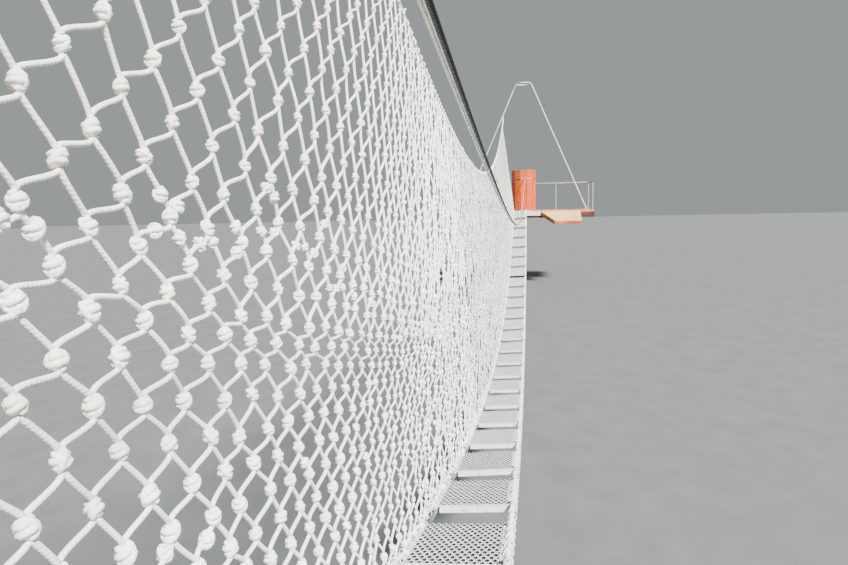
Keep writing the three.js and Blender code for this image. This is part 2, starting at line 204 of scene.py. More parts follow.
def rope_material(name, stops, roughness, braid_mm, relief, sheen=0.0, specular=0.5):
    """Braided rope: soft blotches of dirt in the colour, and a slanted wave in the relief."""
    material, tree, coords = new_material(name, roughness, 0.0, sheen, specular)
    blotch = add_node(tree, "ShaderNodeTexNoise", links={"Vector": coords["Object"]},
                      values={"Scale": DIRT_PER_METRE, "Detail": 4.0})
    fibre = add_node(tree, "ShaderNodeTexNoise", links={"Vector": coords["Object"]},
                     values={"Scale": FIBRES_PER_METRE, "Detail": 2.0})
    mixed = add_node(tree, "ShaderNodeMath", {"operation": "MULTIPLY_ADD"}, {1: 0.35},
                     {0: fibre.outputs["Fac"], 2: blotch.outputs["Fac"]})
    turns = add_node(tree, "ShaderNodeMapping", links={"Vector": coords["UV"]},
                     values={"Scale": (1000 / braid_mm, 2.0, 1.0)})
    braid = add_node(tree, "ShaderNodeTexWave", {"bands_direction": "DIAGONAL"},
                     {"Scale": 0.5, "Distortion": 0.6}, {"Vector": turns.outputs["Vector"]})
    finish_material(tree, mixed.outputs["Value"], stops, braid.outputs["Fac"], relief, depth_mm=0.8)
    return material


white_rope = rope_material("braided_white_polyester",
                           [(0.25, "d3d1c8"), (0.55, "f1f0ea"), (0.9, "fbfbf8")],
                           roughness=0.82, braid_mm=5, relief=0.35, sheen=0.12)
hem_cord = rope_material("white_lashing_cord",
                         [(0.25, "c3c0b5"), (0.55, "eae8e0"), (0.9, "f8f7f3")],
                         roughness=0.85, braid_mm=3, relief=0.35, sheen=0.12)
black_rope = rope_material("black_sheathed_rope",
                           [(0.3, "050608"), (0.6, "0a0c10"), (0.9, "171b24")],
                           roughness=0.55, braid_mm=6, relief=0.2, specular=0.35)
print("rope materials", white_rope.name, hem_cord.name, black_rope.name)

# %% [markdown]
# Wire rope is laid from steel strands with a zinc coat. Zinc weathers to a pale matt grey in spots
# about 17 mm wide, so its roughness is well above that of bare steel. The slanted wave stands for
# the lay of the strands, and is drawn coarser than the real one so that it shows.

# %% Wire rope
ZINC_SPOTS_PER_METRE = 60.0
LAYS_PER_METRE = 28.0


def wire_material():
    material, tree, coords = new_material("galvanised_wire_rope", 0.42, 0.9)
    spots = add_node(tree, "ShaderNodeTexNoise", links={"Vector": coords["Object"]},
                     values={"Scale": ZINC_SPOTS_PER_METRE, "Detail": 3.0})
    lay = add_node(tree, "ShaderNodeMapping", links={"Vector": coords["UV"]},
                   values={"Scale": (LAYS_PER_METRE, 3.0, 1.0)})
    wave = add_node(tree, "ShaderNodeTexWave", {"bands_direction": "DIAGONAL"}, {"Scale": 1.0},
                    {"Vector": lay.outputs["Vector"]})
    finish_material(tree, spots.outputs["Fac"],
                    [(0.3, "7d8183"), (0.55, "b3b8ba"), (0.8, "cfd3d2")],
                    wave.outputs["Fac"], relief=0.6, depth_mm=2)
    return material


galvanised = wire_material()
print("wire", galvanised.name)

# %% [markdown]
# Treads, edge boards and pipes are painted, and old paint is half dull, so its roughness is about
# 0.5. A noise field gives each its near colours, and where the field is lowest the colour drops to
# dirt or bare metal. 34 worn places per metre lie 29 mm apart on the treads, and 160 lie 6 mm apart
# on the small rusty bolts. Wire seen only from far off is coloured the same way, because the lay of
# its strands doesn't show there.

# %% Paint and small steel
def paint_material(name, stops, roughness, worn_per_metre, relief, metallic=0.0):
    """A field of near colours on steel or board, with chips where the noise is low."""
    material, tree, coords = new_material(name, roughness, metallic)
    field = add_node(tree, "ShaderNodeTexNoise", links={"Vector": coords["Object"]},
                     values={"Scale": worn_per_metre, "Detail": 6.0}).outputs["Fac"]
    finish_material(tree, field, stops, field, relief, depth_mm=1)
    return material


tread_paint = paint_material("worn_white_paint_on_expanded_steel",
                             [(0.28, "a5a39a"), (0.40, "dddcd6"), (0.75, "f4f3ef")],
                             roughness=0.48, worn_per_metre=34, relief=0.3)
edge_paint = paint_material("flaking_white_paint_on_board",
                            [(0.30, "b9b4a8"), (0.42, "e6e3da"), (0.75, "f4f2ec")],
                            roughness=0.6, worn_per_metre=26, relief=0.3)
pipe_paint = paint_material("grey_green_paint_on_pipe",
                            [(0.3, "6a7364"), (0.5, "8b9584"), (0.8, "a2ac9b")],
                            roughness=0.4, worn_per_metre=22, relief=0.2)
# The hole walls are near black as painted shade, for the dark seen through the holes, with a little
# mottling.
hole_wall_shade = paint_material("painted_shade_in_tread_holes",
                            [(0.3, "14120f"), (0.6, "2a2622"), (0.8, "4b443d")],
                            roughness=0.85, worn_per_metre=60, relief=0.2)
pale_wire = paint_material("pale_galvanised_stay",
                           [(0.3, "c9cbc4"), (0.5, "e4e6df"), (0.8, "f2f3ee")],
                           roughness=0.5, worn_per_metre=90, relief=0.2, metallic=0.1)
bolt_steel = paint_material("rust_darkened_bolt",
                            [(0.3, "1d1a18"), (0.6, "3a3430"), (0.8, "6b625b")],
                            roughness=0.55, worn_per_metre=160, relief=0.3, metallic=0.7)
print("paint and steel", tread_paint.name, pipe_paint.name, bolt_steel.name)

# %% [markdown]
# The guards and planks are softwood boards under an orange stain. The stain lets the grain through
# and fades where the sun strikes it, in patches about 400 mm long. Real growth rings lie 2 to 4 mm
# apart, which is too fine to show, so the grain is noise 11 mm wide, stretched thirty times longer
# along the board by a mapping node. Bare stained wood is dull, so the roughness is 0.55 or more.

# %% Board materials
GRAIN_PER_METRE = 90.0
GRAIN_ALONG_PER_METRE = 3.0
FADED_PER_METRE = 2.4


def board_material(name, stops, grain_axis, roughness):
    """Stained softwood: stretched grain over slow patches of fading, with the grain in relief."""
    material, tree, coords = new_material(name, roughness)
    stretch = [GRAIN_PER_METRE] * 3
    stretch[grain_axis] = GRAIN_ALONG_PER_METRE
    along = add_node(tree, "ShaderNodeMapping", links={"Vector": coords["Object"]},
                     values={"Scale": stretch})
    grain = add_node(tree, "ShaderNodeTexNoise", links={"Vector": along.outputs["Vector"]},
                     values={"Scale": 1.0, "Detail": 5.0, "Distortion": 0.4}).outputs["Fac"]
    fade = add_node(tree, "ShaderNodeTexNoise", links={"Vector": coords["Object"]},
                    values={"Scale": FADED_PER_METRE, "Detail": 3.0})
    mixed = add_node(tree, "ShaderNodeMath", {"operation": "MULTIPLY_ADD"}, {1: 0.6},
                     {0: fade.outputs["Fac"], 2: grain})
    evened = add_node(tree, "ShaderNodeMath", {"operation": "MULTIPLY"}, {1: 0.62},
                      {0: mixed.outputs["Value"]})
    finish_material(tree, evened.outputs["Value"], stops, grain, relief=0.35, depth_mm=2)
    return material


stained_upright = board_material("orange_stained_softwood_upright",
                                 [(0.32, "a63814"), (0.5, "cc5a28"), (0.68, "dc8650")],
                                 grain_axis=2, roughness=0.55)
stained_across = board_material("orange_stained_softwood_plank",
                                [(0.32, "904226"), (0.5, "c6754f"), (0.68, "daa581")],
                                grain_axis=1, roughness=0.6)
# The slope boards have the same orange stain as the other boards; their pale cream tone is painted
# sunlight on their tops.
sunlit_slope = board_material("painted_sunlit_softwood_slope",
                                [(0.32, "bd8656"), (0.5, "d8ae7e"), (0.68, "e2caa2")],
                                grain_axis=1, roughness=0.65)
# This dark brown is painted shade for the frame beams, which lie in the shadow under the planks.
shaded_beam = board_material("painted_shade_dark_beam",
                             [(0.32, "24130d"), (0.5, "43241a"), (0.68, "6a4030")],
                             grain_axis=1, roughness=0.75)
sawn_beam = board_material("sawn_red_stained_beam",
                           [(0.32, "6e2a18"), (0.5, "af502a"), (0.68, "ce8b61")],
                           grain_axis=1, roughness=0.7)
print("boards", stained_upright.name, stained_across.name, sunlit_slope.name, sawn_beam.name)

# %% [markdown]
# Thousands of small things could be separate objects, but Blender takes whole arrays of corners and
# faces in one call, which is far quicker. So each piece is one mesh. A shape here is always three
# arrays: corners, faces, and UVs or None.

# %% Pieces from arrays
counts = {}


def mesh_piece(name, shape, material, replaced=(), smooth=True):
    """Makes one piece from a shape whose faces have equal numbers of corners."""
    verts, faces, uvs = shape
    verts = np.asarray(verts, dtype=np.float32).reshape(-1, 3)
    faces = np.asarray(faces, dtype=np.int32)
    mesh = bpy.data.meshes.new(name)
    mesh.from_pydata(verts, [], faces)
    if uvs is not None:
        layer = mesh.uv_layers.new(name="along_and_round")
        layer.data.foreach_set("uv", np.asarray(uvs, dtype=np.float32).ravel())
    mesh.polygons.foreach_set("use_smooth", np.full(len(faces), smooth))
    mesh.materials.append(material)
    mesh.update()
    piece = bpy.data.objects.new(name, mesh)
    bpy.context.collection.objects.link(piece)
    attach(piece, "root")
    if replaced:
        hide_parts(*replaced)
    counts[name] = len(faces) * (faces.shape[1] - 2)
    print(name, counts[name], "triangles")


def joined(shapes):
    """Joins shapes into one. Either all of them have UVs or none has."""
    starts = np.cumsum([0] + [len(verts) for verts, _, _ in shapes])
    all_verts, all_faces, all_uvs = zip(*shapes)
    all_faces = [faces + start for faces, start in zip(all_faces, starts)]
    uvs = None if all_uvs[0] is None else np.concatenate(all_uvs)
    return np.concatenate(all_verts), np.concatenate(all_faces), uvs


# %% [markdown]
# A rope is a tube round a line of points. Blender's curves with a bevel would do, but many
# thousands of them would be slow. At each point the tube needs two directions square to the line,
# and a ring of corners is laid out in them. Ropes with equal numbers of points are made at once.

# %% Tubes from lines
def normed(vectors):
    """Vectors brought to a length of 1. The tiny number keeps a zero vector from dividing by 0."""
    return vectors / (np.linalg.norm(vectors, axis=-1, keepdims=True) + 1e-12)


def tubes(lines, radii, sides, reference=(0, 1, 0)):
    """The shape of tubes round many lines at once. lines is (tubes, points, 3)."""
    lines = np.asarray(lines, dtype=float)
    count, steps, _ = lines.shape
    tangents = normed(np.gradient(lines, axis=1))
    first = normed(np.cross(tangents, np.asarray(reference, dtype=float)))
    second = np.cross(tangents, first)
    angles = np.linspace(0, 2 * np.pi, sides, endpoint=False)[:, None]
    radii = np.broadcast_to(np.asarray(radii, dtype=float), (count, steps))[..., None, None]
    ring = first[:, :, None] * np.cos(angles) + second[:, :, None] * np.sin(angles)
    verts = lines[:, :, None] + ring * radii
    tube, step, side = np.meshgrid(np.arange(count), np.arange(steps - 1), np.arange(sides),
                                   indexing="ij")
    following = (side + 1) % sides
    low = (tube * steps + step) * sides
    high = low + sides
    quads = np.stack([low + side, low + following, high + following, high + side], axis=-1)
    travel = np.cumsum(np.linalg.norm(np.diff(lines, axis=1), axis=2), axis=1)
    travel = np.concatenate([np.zeros((count, 1)), travel], axis=1)[..., None]
    here = np.broadcast_to(travel[:, :-1], side.shape)
    there = np.broadcast_to(travel[:, 1:], side.shape)
    turn, next_turn = side / sides, (side + 1) / sides
    uvs = np.stack([here, turn, here, next_turn, there, next_turn, there, turn], axis=-1)
    return verts.reshape(-1, 3), quads.reshape(-1, 4), uvs.reshape(-1, 4, 2)


print("quads in a tube of 9 points and 6 sides", len(tubes(np.eye(9, 3)[None], 0.01, 6)[1]))

# %% [markdown]
# The camera stands just past the near end of the deck, a little right of it, and looks along the
# bridge and slightly down. It could be placed by eye, but its place and lens were worked out from
# the treads, the net's edge and the hand line, so the treads line up.

# %% Camera
PHOTO_WIDTH = 848
FOCAL_PIXELS = 611.1
CAMERA_PLACE = Vector((0.8653, -0.1407, -0.1076))
CAMERA_YAW = math.radians(9.796)
CAMERA_PITCH = math.radians(8.015)
CAMERA_ROLL = math.radians(-1.404)

camera_data = bpy.data.cameras.new("walk_camera")
camera_data.sensor_width = 36.0
camera_data.lens = FOCAL_PIXELS * camera_data.sensor_width / PHOTO_WIDTH
camera_data.clip_start = 0.05
camera = bpy.data.objects.new("walk_camera", camera_data)
forward = Vector((math.cos(CAMERA_YAW) * math.cos(CAMERA_PITCH),
                  math.sin(CAMERA_YAW) * math.cos(CAMERA_PITCH), -math.sin(CAMERA_PITCH)))
level_right = Vector((math.sin(CAMERA_YAW), -math.cos(CAMERA_YAW), 0))
level_up = level_right.cross(forward)
right = level_right * math.cos(CAMERA_ROLL) + level_up * math.sin(CAMERA_ROLL)
up = level_up * math.cos(CAMERA_ROLL) - level_right * math.sin(CAMERA_ROLL)
facing = Matrix((right, up, -forward)).transposed().to_4x4()
camera.matrix_world = Matrix.Translation(CAMERA_PLACE) @ facing
bpy.context.collection.objects.link(camera)
bpy.context.scene.camera = camera
print("lens", round(camera_data.lens, 2), "mm")

# %% [markdown]
# The net is a field of diamonds. Each knot joins four strands, and every second half row is set
# off by half a mesh. Two nets are laced together at a seam: the lower one has small meshes, and
# those of the upper one grow towards the head rope, which carries the weight. The heights of the
# half rows are summed from the foot rope up, in half meshes.

# %% Net rows
NET_HEIGHT = 2.675
NET_HALF_ROWS = 30
SEAM_ROW = 13
LOWER_HALF_MESH = 0.0583
SEAM_HALF_MESH = 0.047
UPPER_HALF_MESH = 0.0565
HALF_MESH_GROWTH = 0.0071
GROWING_ROWS = 12

half_mesh = np.full(NET_HALF_ROWS, LOWER_HALF_MESH)
half_mesh[SEAM_ROW - 2:SEAM_ROW] = SEAM_HALF_MESH
grown = np.minimum(np.arange(NET_HALF_ROWS - SEAM_ROW) + 1, GROWING_ROWS)
half_mesh[SEAM_ROW:] = UPPER_HALF_MESH + HALF_MESH_GROWTH * grown
row_height = np.concatenate([[0], np.cumsum(half_mesh)])
row_height *= NET_HEIGHT / row_height[-1]
print("seam height", round(float(row_height[SEAM_ROW]), 3), "top", round(float(row_height[-1]), 3))

# %% [markdown]
# The net is bunched at both ends, so its columns fan out from there. Near an end they lean along
# the bridge, because the net hangs square to the sloping deck. At mid-span they stand upright, so
# the far half mirrors the near half. A smooth formula fitted to the knots that show does all of
# this: the reach of a column grows with its number and leans back as a curve of its height. Away
# from the ends the meshes hang taller, and there the top rows run out at the head rope.

# %% Net columns
NET_HALF_COLUMNS = 368
BUNCHED = 42
EASE = 20.0
END_FADE = 5
FAN_START = 0.0112
FAN_PITCH = 0.02931
FAN_WIDENING = 0.000199
FAN_PER_HEIGHT = 0.0118
LEAN_BACK = 0.2321
LEAN_CURVE = 0.1224
TANGENT_HEIGHT = 1.6
SHIFT_UP = 0.114
SHIFT_COLUMN = 33.3
SHIFT_SPREAD = 3.7
SHIFT_FADE = 40
TALLER_STEPS = ((0.02, 38, 2.5), (0.16, 74, 10))


def end_distance(column):
    """Half columns from the nearer end of the net."""
    return np.minimum(column, NET_HALF_COLUMNS - column)


def height_of(from_end, row):
    """Height up the net of a row, at a count of half columns from the nearer end."""
    height = np.interp(row, np.arange(NET_HALF_ROWS + 1), row_height)
    seam = row_height[SEAM_ROW]
    above = np.clip((height - seam) / (NET_HEIGHT - seam), 0, 1)
    fading = np.exp(-np.maximum(from_end - BUNCHED, 0) / SHIFT_FADE)
    shift = SHIFT_UP * np.tanh((from_end - SHIFT_COLUMN) / SHIFT_SPREAD) * fading
    above = above + shift * above * (1 - above)
    height = np.where(height > seam, seam + above * (NET_HEIGHT - seam), height)
    taller = 1
    for share, middle, spread in TALLER_STEPS:
        taller = taller + share / (1 + np.exp((middle - from_end) / spread))
    return np.minimum(height * taller, NET_HEIGHT)


def bunched_reach(from_end, height):
    """Distance from the end of the net, for the columns that fan out."""
    curved = height ** 2 - np.maximum(height - TANGENT_HEIGHT, 0) ** 2
    upright = FAN_START + FAN_PITCH * from_end + FAN_WIDENING * from_end ** 2
    return (upright - LEAN_BACK * height + LEAN_CURVE * curved
            + FAN_PER_HEIGHT * from_end * height)


def reach_of(from_end, height):
    """Distance from the end of the net: bunched columns first, then an even pitch to mid-span."""
    reach = bunched_reach(np.minimum(from_end, BUNCHED), height)
    reach = reach - bunched_reach(0.0, height) * np.exp(-from_end / END_FADE)
    pitch = FAN_PITCH + 2 * FAN_WIDENING * BUNCHED + FAN_PER_HEIGHT * height
    rest = NET_HALF_COLUMNS / 2 - BUNCHED
    to_middle = SPAN / 2 - bunched_reach(BUNCHED, height) - pitch * EASE
    middle_pitch = to_middle / (rest - EASE)
    beyond = np.maximum(from_end - BUNCHED, 0)
    eased = EASE * (1 - np.exp(-beyond / EASE))
    return reach + middle_pitch * beyond + (pitch - middle_pitch) * eased


def net_place(column, row):
    """The place of the net at half column and half row numbers, given as arrays."""
    height = height_of(end_distance(column), row)
    reach = np.clip(reach_of(end_distance(column), height), 0, SPAN / 2)
    t = np.where(column <= NET_HALF_COLUMNS / 2, reach, SPAN - reach) / SPAN
    low, high = foot_line(t), head_line(t)
    return low + (high - low) * (height / NET_HEIGHT)[..., None]


print("reach of half column 20 at the foot", round(float(reach_of(20.0, 0.0)), 3))

# %% [markdown]
# No real net hangs evenly. Each knot is moved by a small random step, from one seeded source, so
# that every run gives the same net. Knots on the foot and head ropes stay put. The seam is slacker
# than the rest, and far knots move more, because their rows would otherwise show as smooth lines.

# %% Knot places
HEAD_CLEARANCE = 0.004
SLACKNESS = ((18, 0.0024), (40, 0.0028), (60, 0.0020))
UNEVENNESS = ((52, 0), (76, 1), (130, 1.6))
UNEVEN_STEP = np.array([0.006, 0.003, 0.012])
SEAM_SLACK = 0.5
SEAM_SLACK_ROWS = 1.2


def along_net(column, table):
    """Values read from a table of (half columns from the nearer end, value)."""
    return np.interp(end_distance(column), *zip(*table))


all_columns, all_rows = np.meshgrid(np.arange(NET_HALF_COLUMNS + 1.0),
                                    np.arange(NET_HALF_ROWS + 1.0), indexing="ij")
knots = net_place(all_columns, all_rows)
below_head = height_of(end_distance(all_columns), all_rows) < NET_HEIGHT - HEAD_CLEARANCE
loose = ((all_rows > 0) & below_head)[..., None]
rows_from_seam = (all_rows - SEAM_ROW - 0.5) / SEAM_SLACK_ROWS
seam_slack = 1 + SEAM_SLACK * np.exp(-rows_from_seam ** 2)[..., None]
slackness = along_net(all_columns, SLACKNESS)[..., None]
slackness = slackness + along_net(all_columns, UNEVENNESS)[..., None] * UNEVEN_STEP
knots += rng.normal(0, 1, knots.shape) * slackness * loose * seam_slack
print("net knots", int(((all_columns + all_rows) % 2 == 0).sum()))

# %% [markdown]
# A strand leaves a knot at its top or its foot and then bends away to the next one. The knots lean
# towards the strands that fall along the bridge, so those run nearly straight and the others bend
# in a soft S. Straight strands would be simpler, but a cubic curve does both: its two handles lie
# along the knots, long for the S and short for the straight run. The rope is stouter in the upper
# net than in the lower one, and thinnest where the net is bunched.

# %% Net strands
ROPE_RADIUS = 0.0046
LEAVE = 0.011
HANDLE_SHARE = {1: 0.15, -1: 0.06}
KNOT_LEAN = 0.6
STRAND_SLACK = 0.0020
STRAND_SIZES = (((20, 0.71), (28, 0.82), (40, 0.92), (56, 0.84), (90, 0.90)),
                ((20, 0.71), (28, 0.82), (40, 1.00), (50, 1.10), (70, 1.12), (96, 0.96)))


def knot_axes(columns, rows):
    """Upward directions of knots, between the column's own and that of the falling strands."""
    over, under = np.minimum(rows + 2, NET_HALF_ROWS), np.maximum(rows - 2, 0)
    upright = normed(knots[columns, over] - knots[columns, under])
    before, after = np.maximum(columns - 1, 0), np.minimum(columns + 1, NET_HALF_COLUMNS)
    above, below = np.minimum(rows + 1, NET_HALF_ROWS), np.maximum(rows - 1, 0)
    return normed(upright + KNOT_LEAN * normed(knots[before, above] - knots[after, below]))


def strand_lines(low_knot, high_knot, low_axis, high_axis, share, steps):
    """Lines from the tops of the low knots to the feet of the high ones."""
    start = low_knot + low_axis * LEAVE
    end = high_knot - high_axis * LEAVE
    length = np.linalg.norm(end - start, axis=1, keepdims=True)
    slack = rng.normal(0, STRAND_SLACK, start.shape)
    first = start + low_axis * length * share + slack
    second = end - high_axis * length * share + slack
    s = np.linspace(0, 1, steps + 1)[None, :, None]
    return ((1 - s) ** 3 * start[:, None] + 3 * (1 - s) ** 2 * s * first[:, None]
            + 3 * (1 - s) * s ** 2 * second[:, None] + s ** 3 * end[:, None])


def tied_places(columns, rows):
    """Column and row numbers where a knot is tied, out of a grid of both."""
    columns, rows = np.meshgrid(columns, rows, indexing="ij")
    tied = (((columns + rows) % 2) == 0) & below_head[columns, rows]
    return columns[tied], rows[tied]


def strand_ends(first_column, last_column, step):
    """Column and row numbers of the low ends of the strands that go one way."""
    shift = 1 if step == -1 else 0
    return tied_places(np.arange(first_column, last_column) + shift, np.arange(NET_HALF_ROWS))


def size_in_net(columns, rows, tables):
    """Sizes read from the tables of the lower and of the upper net."""
    lower, upper = (along_net(columns, table) for table in tables)
    return np.where(rows >= SEAM_ROW, upper, lower)


def net_strands(first_column, last_column, steps, sides):
    lines, thickness = [], []
    for step in (1, -1):
        columns, rows = strand_ends(first_column, last_column, step)
        size = size_in_net(columns, rows, STRAND_SIZES)
        thickness.append(ROPE_RADIUS * size * rng.uniform(0.96, 1.05, len(rows)))
        lines.append(strand_lines(knots[columns, rows], knots[columns + step, rows + 1],
                                  knot_axes(columns, rows), knot_axes(columns + step, rows + 1),
                                  HANDLE_SHARE[step], steps))
    return tubes(np.concatenate(lines), np.concatenate(thickness)[:, None], sides)


print("strands that lean one way", len(strand_ends(0, NET_HALF_COLUMNS, 1)[0]))

# %% [markdown]
# A knot in such a net is a lump of wraps. Near the camera it is real rope: two and a half turns
# round the column, and one loop that crosses them, over a core that fills the middle. A sculpted
# lump would be lighter, but it wouldn't catch the light as turns of rope do. Further off, a lumpy
# ball shows the same with far fewer triangles.

# %% Knot shapes
KNOT_RADIUS = 0.0135
KNOT_STRETCH = 1.02
WRAP_TURNS = 2.6
WRAP_GIRTH = 0.60
WRAP_HALF_HEIGHT = 0.74
CORE_GIRTH = 0.66
CORE_HALF_HEIGHT = 0.85
BALL_STRETCH = np.array([1.0, 1.0, 1.15])


def wrapped_knot(points, sides, core_sides):
    """Wraps, a crossing loop and a core, about 1 unit in radius."""
    rope = 0.9 * ROPE_RADIUS / KNOT_RADIUS
    s = np.linspace(0, 1, points)
    turn = 2 * np.pi * WRAP_TURNS * s
    girth = WRAP_GIRTH * np.sin(np.pi * np.clip(s, 0.04, 0.96)) ** 0.4
    climb = -WRAP_HALF_HEIGHT + 2 * WRAP_HALF_HEIGHT * s
    wraps = np.stack([girth * np.cos(turn), girth * np.sin(turn), climb], axis=-1)
    wrap_radii = rope * np.clip(np.sin(np.pi * s) * 9, 0.05, 1)
    a = np.linspace(0, 2 * np.pi, points // 2 + 1)
    loop = np.stack([0.36 * np.sin(a), 0.62 * np.cos(a), 0.70 * np.sin(a)], axis=-1)
    core = np.linspace((0, 0, -CORE_HALF_HEIGHT), (0, 0, CORE_HALF_HEIGHT), 7)
    rounding = 1 - (core[:, 2] / (CORE_HALF_HEIGHT + 0.01)) ** 2
    core_radii = CORE_GIRTH * np.sqrt(np.clip(rounding, 0.001, 1))
    verts, quads, uvs = joined([tubes(wraps[None], wrap_radii[None], sides, (0, 0, 1)),
                                tubes(loop[None], rope, sides, (0.87, 0, -0.5)),
                                tubes(core[None], core_radii[None], core_sides, (1, 0, 0))])
    verts[:, 2] *= KNOT_STRETCH
    uvs[..., 0] *= KNOT_RADIUS
    return verts, quads, uvs


def arrays_of(shape):
    """Takes the corners and faces out of a bmesh, as a shape with no UVs, and frees it."""
    verts = np.array([v.co[:] for v in shape.verts])
    faces = np.array([[v.index for v in f.verts] for f in shape.faces])
    shape.free()
    return verts, faces, None


def lumpy_ball(level):
    """A ball of triangles with soft lumps, 1 unit in radius."""
    ball = bmesh.new()
    bmesh.ops.create_icosphere(ball, subdivisions=level, radius=1.0)
    verts, faces, uvs = arrays_of(ball)
    lumps = 0.88 + 0.16 * np.sin(5 * verts[:, 0] + 4 * verts[:, 2] + 1.3)
    return verts * lumps[:, None] * BALL_STRETCH, faces, uvs


fine_knot = wrapped_knot(26, 6, 7)
plain_knot = wrapped_knot(15, 4, 5)
round_ball, small_ball = lumpy_ball(2), lumpy_ball(1)
print("faces in one near knot", len(fine_knot[1]), "and in a plainer one", len(plain_knot[1]))

# %% [markdown]
# Each copy of a knot is spun and tipped at random, so that no two show the same face. A quaternion
# holds each turn: one for the spin about the upright, one for the small tip, and their product
# becomes a matrix. A loop over objects would be far slower than turning all copies as one array.

# %% Scattered copies
def tipped_turns(count, tip_degrees):
    """Rotations that spin about the upright, then tip a little in a random direction."""
    spin = rng.uniform(0, 2 * np.pi, count)
    tip = np.radians(rng.normal(0, tip_degrees, count))
    ways = rng.uniform(0, 2 * np.pi, count)
    w1, w2 = np.cos(tip / 2), np.cos(spin / 2)
    x1, y1 = np.cos(ways) * np.sin(tip / 2), np.sin(ways) * np.sin(tip / 2)
    z2 = np.sin(spin / 2)
    w, x, y, z = w1 * w2, x1 * w2 + y1 * z2, y1 * w2 - x1 * z2, w1 * z2
    return np.stack([
        np.stack([1 - 2 * (y * y + z * z), 2 * (x * y - z * w), 2 * (x * z + y * w)], -1),
        np.stack([2 * (x * y + z * w), 1 - 2 * (x * x + z * z), 2 * (y * z - x * w)], -1),
        np.stack([2 * (x * z - y * w), 2 * (y * z + x * w), 1 - 2 * (x * x + y * y)], -1),
    ], axis=-2)


def placed(template, centres, tip_degrees, sizes, axes=(0, 0, 1)):
    """Copies of a shape at the centres, spun at random about their axes and uneven in size."""
    verts, faces, uvs = template
    turned = np.einsum("nij,vj->nvi", tipped_turns(len(centres), tip_degrees), verts)
    axes = np.broadcast_to(np.asarray(axes, dtype=float), centres.shape)
    first = normed(np.cross([0.0, 1.0, 0.0], axes))
    basis = np.stack([first, np.cross(axes, first), axes], axis=1)
    turned = np.einsum("nvi,nij->nvj", turned, basis)
    sizes = np.broadcast_to(sizes, len(centres)) * rng.uniform(0.92, 1.1, len(centres))
    all_verts = centres[:, None] + turned * (KNOT_RADIUS * sizes[:, None, None])
    starts = (np.arange(len(centres)) * len(verts))[:, None, None]
    if uvs is not None:
        uvs = np.broadcast_to(uvs, (len(centres),) + uvs.shape).reshape(-1, 4, 2)
    return all_verts.reshape(-1, 3), (faces[None] + starts).reshape(-1, faces.shape[1]), uvs


# %% [markdown]
# The net is cut into stretches by distance from the camera: wrapped knots near it, plainer ones
# next, and balls further off and behind it. At the seam a second knot sits on most strands, where
# the lacing cord ties the two nets together, and a few more sit in the row above and low down.

# %% Net stretches
KNOT_SIZES = (((20, 0.84), (28, 0.98), (42, 1.00), (56, 0.90), (76, 0.86)),
              ((20, 0.84), (30, 0.92), (46, 1.14), (66, 1.24), (90, 1.04)))
LACING_ROWS = ((15, 12), (24, 13), (30, 14), (36, 15), (46, 14), (60, 13))
LACING_CHANCES = ((0, 0.65), (1, 0.2), (-8, 0.25))
LACING_SIZE = 0.88
KNOT_TIP_DEGREES = 14
STRETCHES = (("net_start", 0, 18, 2, 4, round_ball),
             ("net_near_a", 18, 32, 8, 8, fine_knot),
             ("net_near_b", 32, 46, 8, 8, fine_knot),
             ("net_middle_a", 46, 66, 4, 6, plain_knot),
             ("net_middle_b", 66, 110, 3, 5, round_ball),
             ("net_far", 110, NET_HALF_COLUMNS, 1, 3, small_ball))


def knot_centres(first_column, last_column):
    """Places, sizes and axes of the net's own knots."""
    columns, rows = tied_places(np.arange(first_column, last_column), np.arange(1, NET_HALF_ROWS))
    return knots[columns, rows], size_in_net(columns, rows, KNOT_SIZES), knot_axes(columns, rows)


def lacing_centres(first_column, last_column, lift, chance):
    """Places about half way up some of the strands above the lacing row, with sizes and axes."""
    places = []
    for step in (1, -1):
        columns, rows = strand_ends(first_column, last_column, step)
        lacing_row = np.round(along_net(columns, LACING_ROWS)).astype(int)
        kept = (rows == lacing_row + lift) & (rng.random(len(columns)) < chance)
        low, high = knots[columns, rows][kept], knots[columns + step, rows + 1][kept]
        places.append(low + (high - low) * rng.uniform(0.3, 0.7, (int(kept.sum()), 1)))
    places = np.concatenate(places)
    return places, np.full(len(places), LACING_SIZE), np.broadcast_to([0.0, 0.0, 1.0], places.shape)


net_nodes = [f"net_panel_{i}" for i in range(1, 7)]
for name, first, last, steps, sides, template in STRETCHES:
    mesh_piece(name + "_strands", net_strands(first, last, steps, sides), white_rope, net_nodes)
    groups = [knot_centres(first, last)]
    groups += [lacing_centres(first, last, lift, chance) for lift, chance in LACING_CHANCES]
    centres, sizes, axes = (np.concatenate(part) for part in zip(*groups))
    mesh_piece(name + "_knots", placed(template, centres, KNOT_TIP_DEGREES, sizes, axes),
               white_rope, net_nodes)

# %% [markdown]
# The long ropes follow their parabolas as single tubes. The head rope runs on past the net at both
# ends, to an eye that takes its tie. The hand line is black, with a pale wire beside it, and both
# end on the slings of the two guards.

# %% Long ropes
EYE_RADIUS = 0.095
HEAD_TAIL = 0.42
HAND_LINE_END_HEIGHT = 0.932
HAND_LINE_SAG = 0.808
HAND_REACH = 0.384
HAND_LINES = (("hand_rope", "hand_line", -0.135, 0.0042, 14, black_rope),
              ("hand_wire_rope", "hand_wire", -0.1258, 0.0034, 10, pale_wire))


def rope_along(name, node, lines, radius, sides, material):
    """One piece from lines that may have different numbers of points."""
    mesh_piece(name, joined([tubes(line[None], radius, sides) for line in lines]), material, [node])


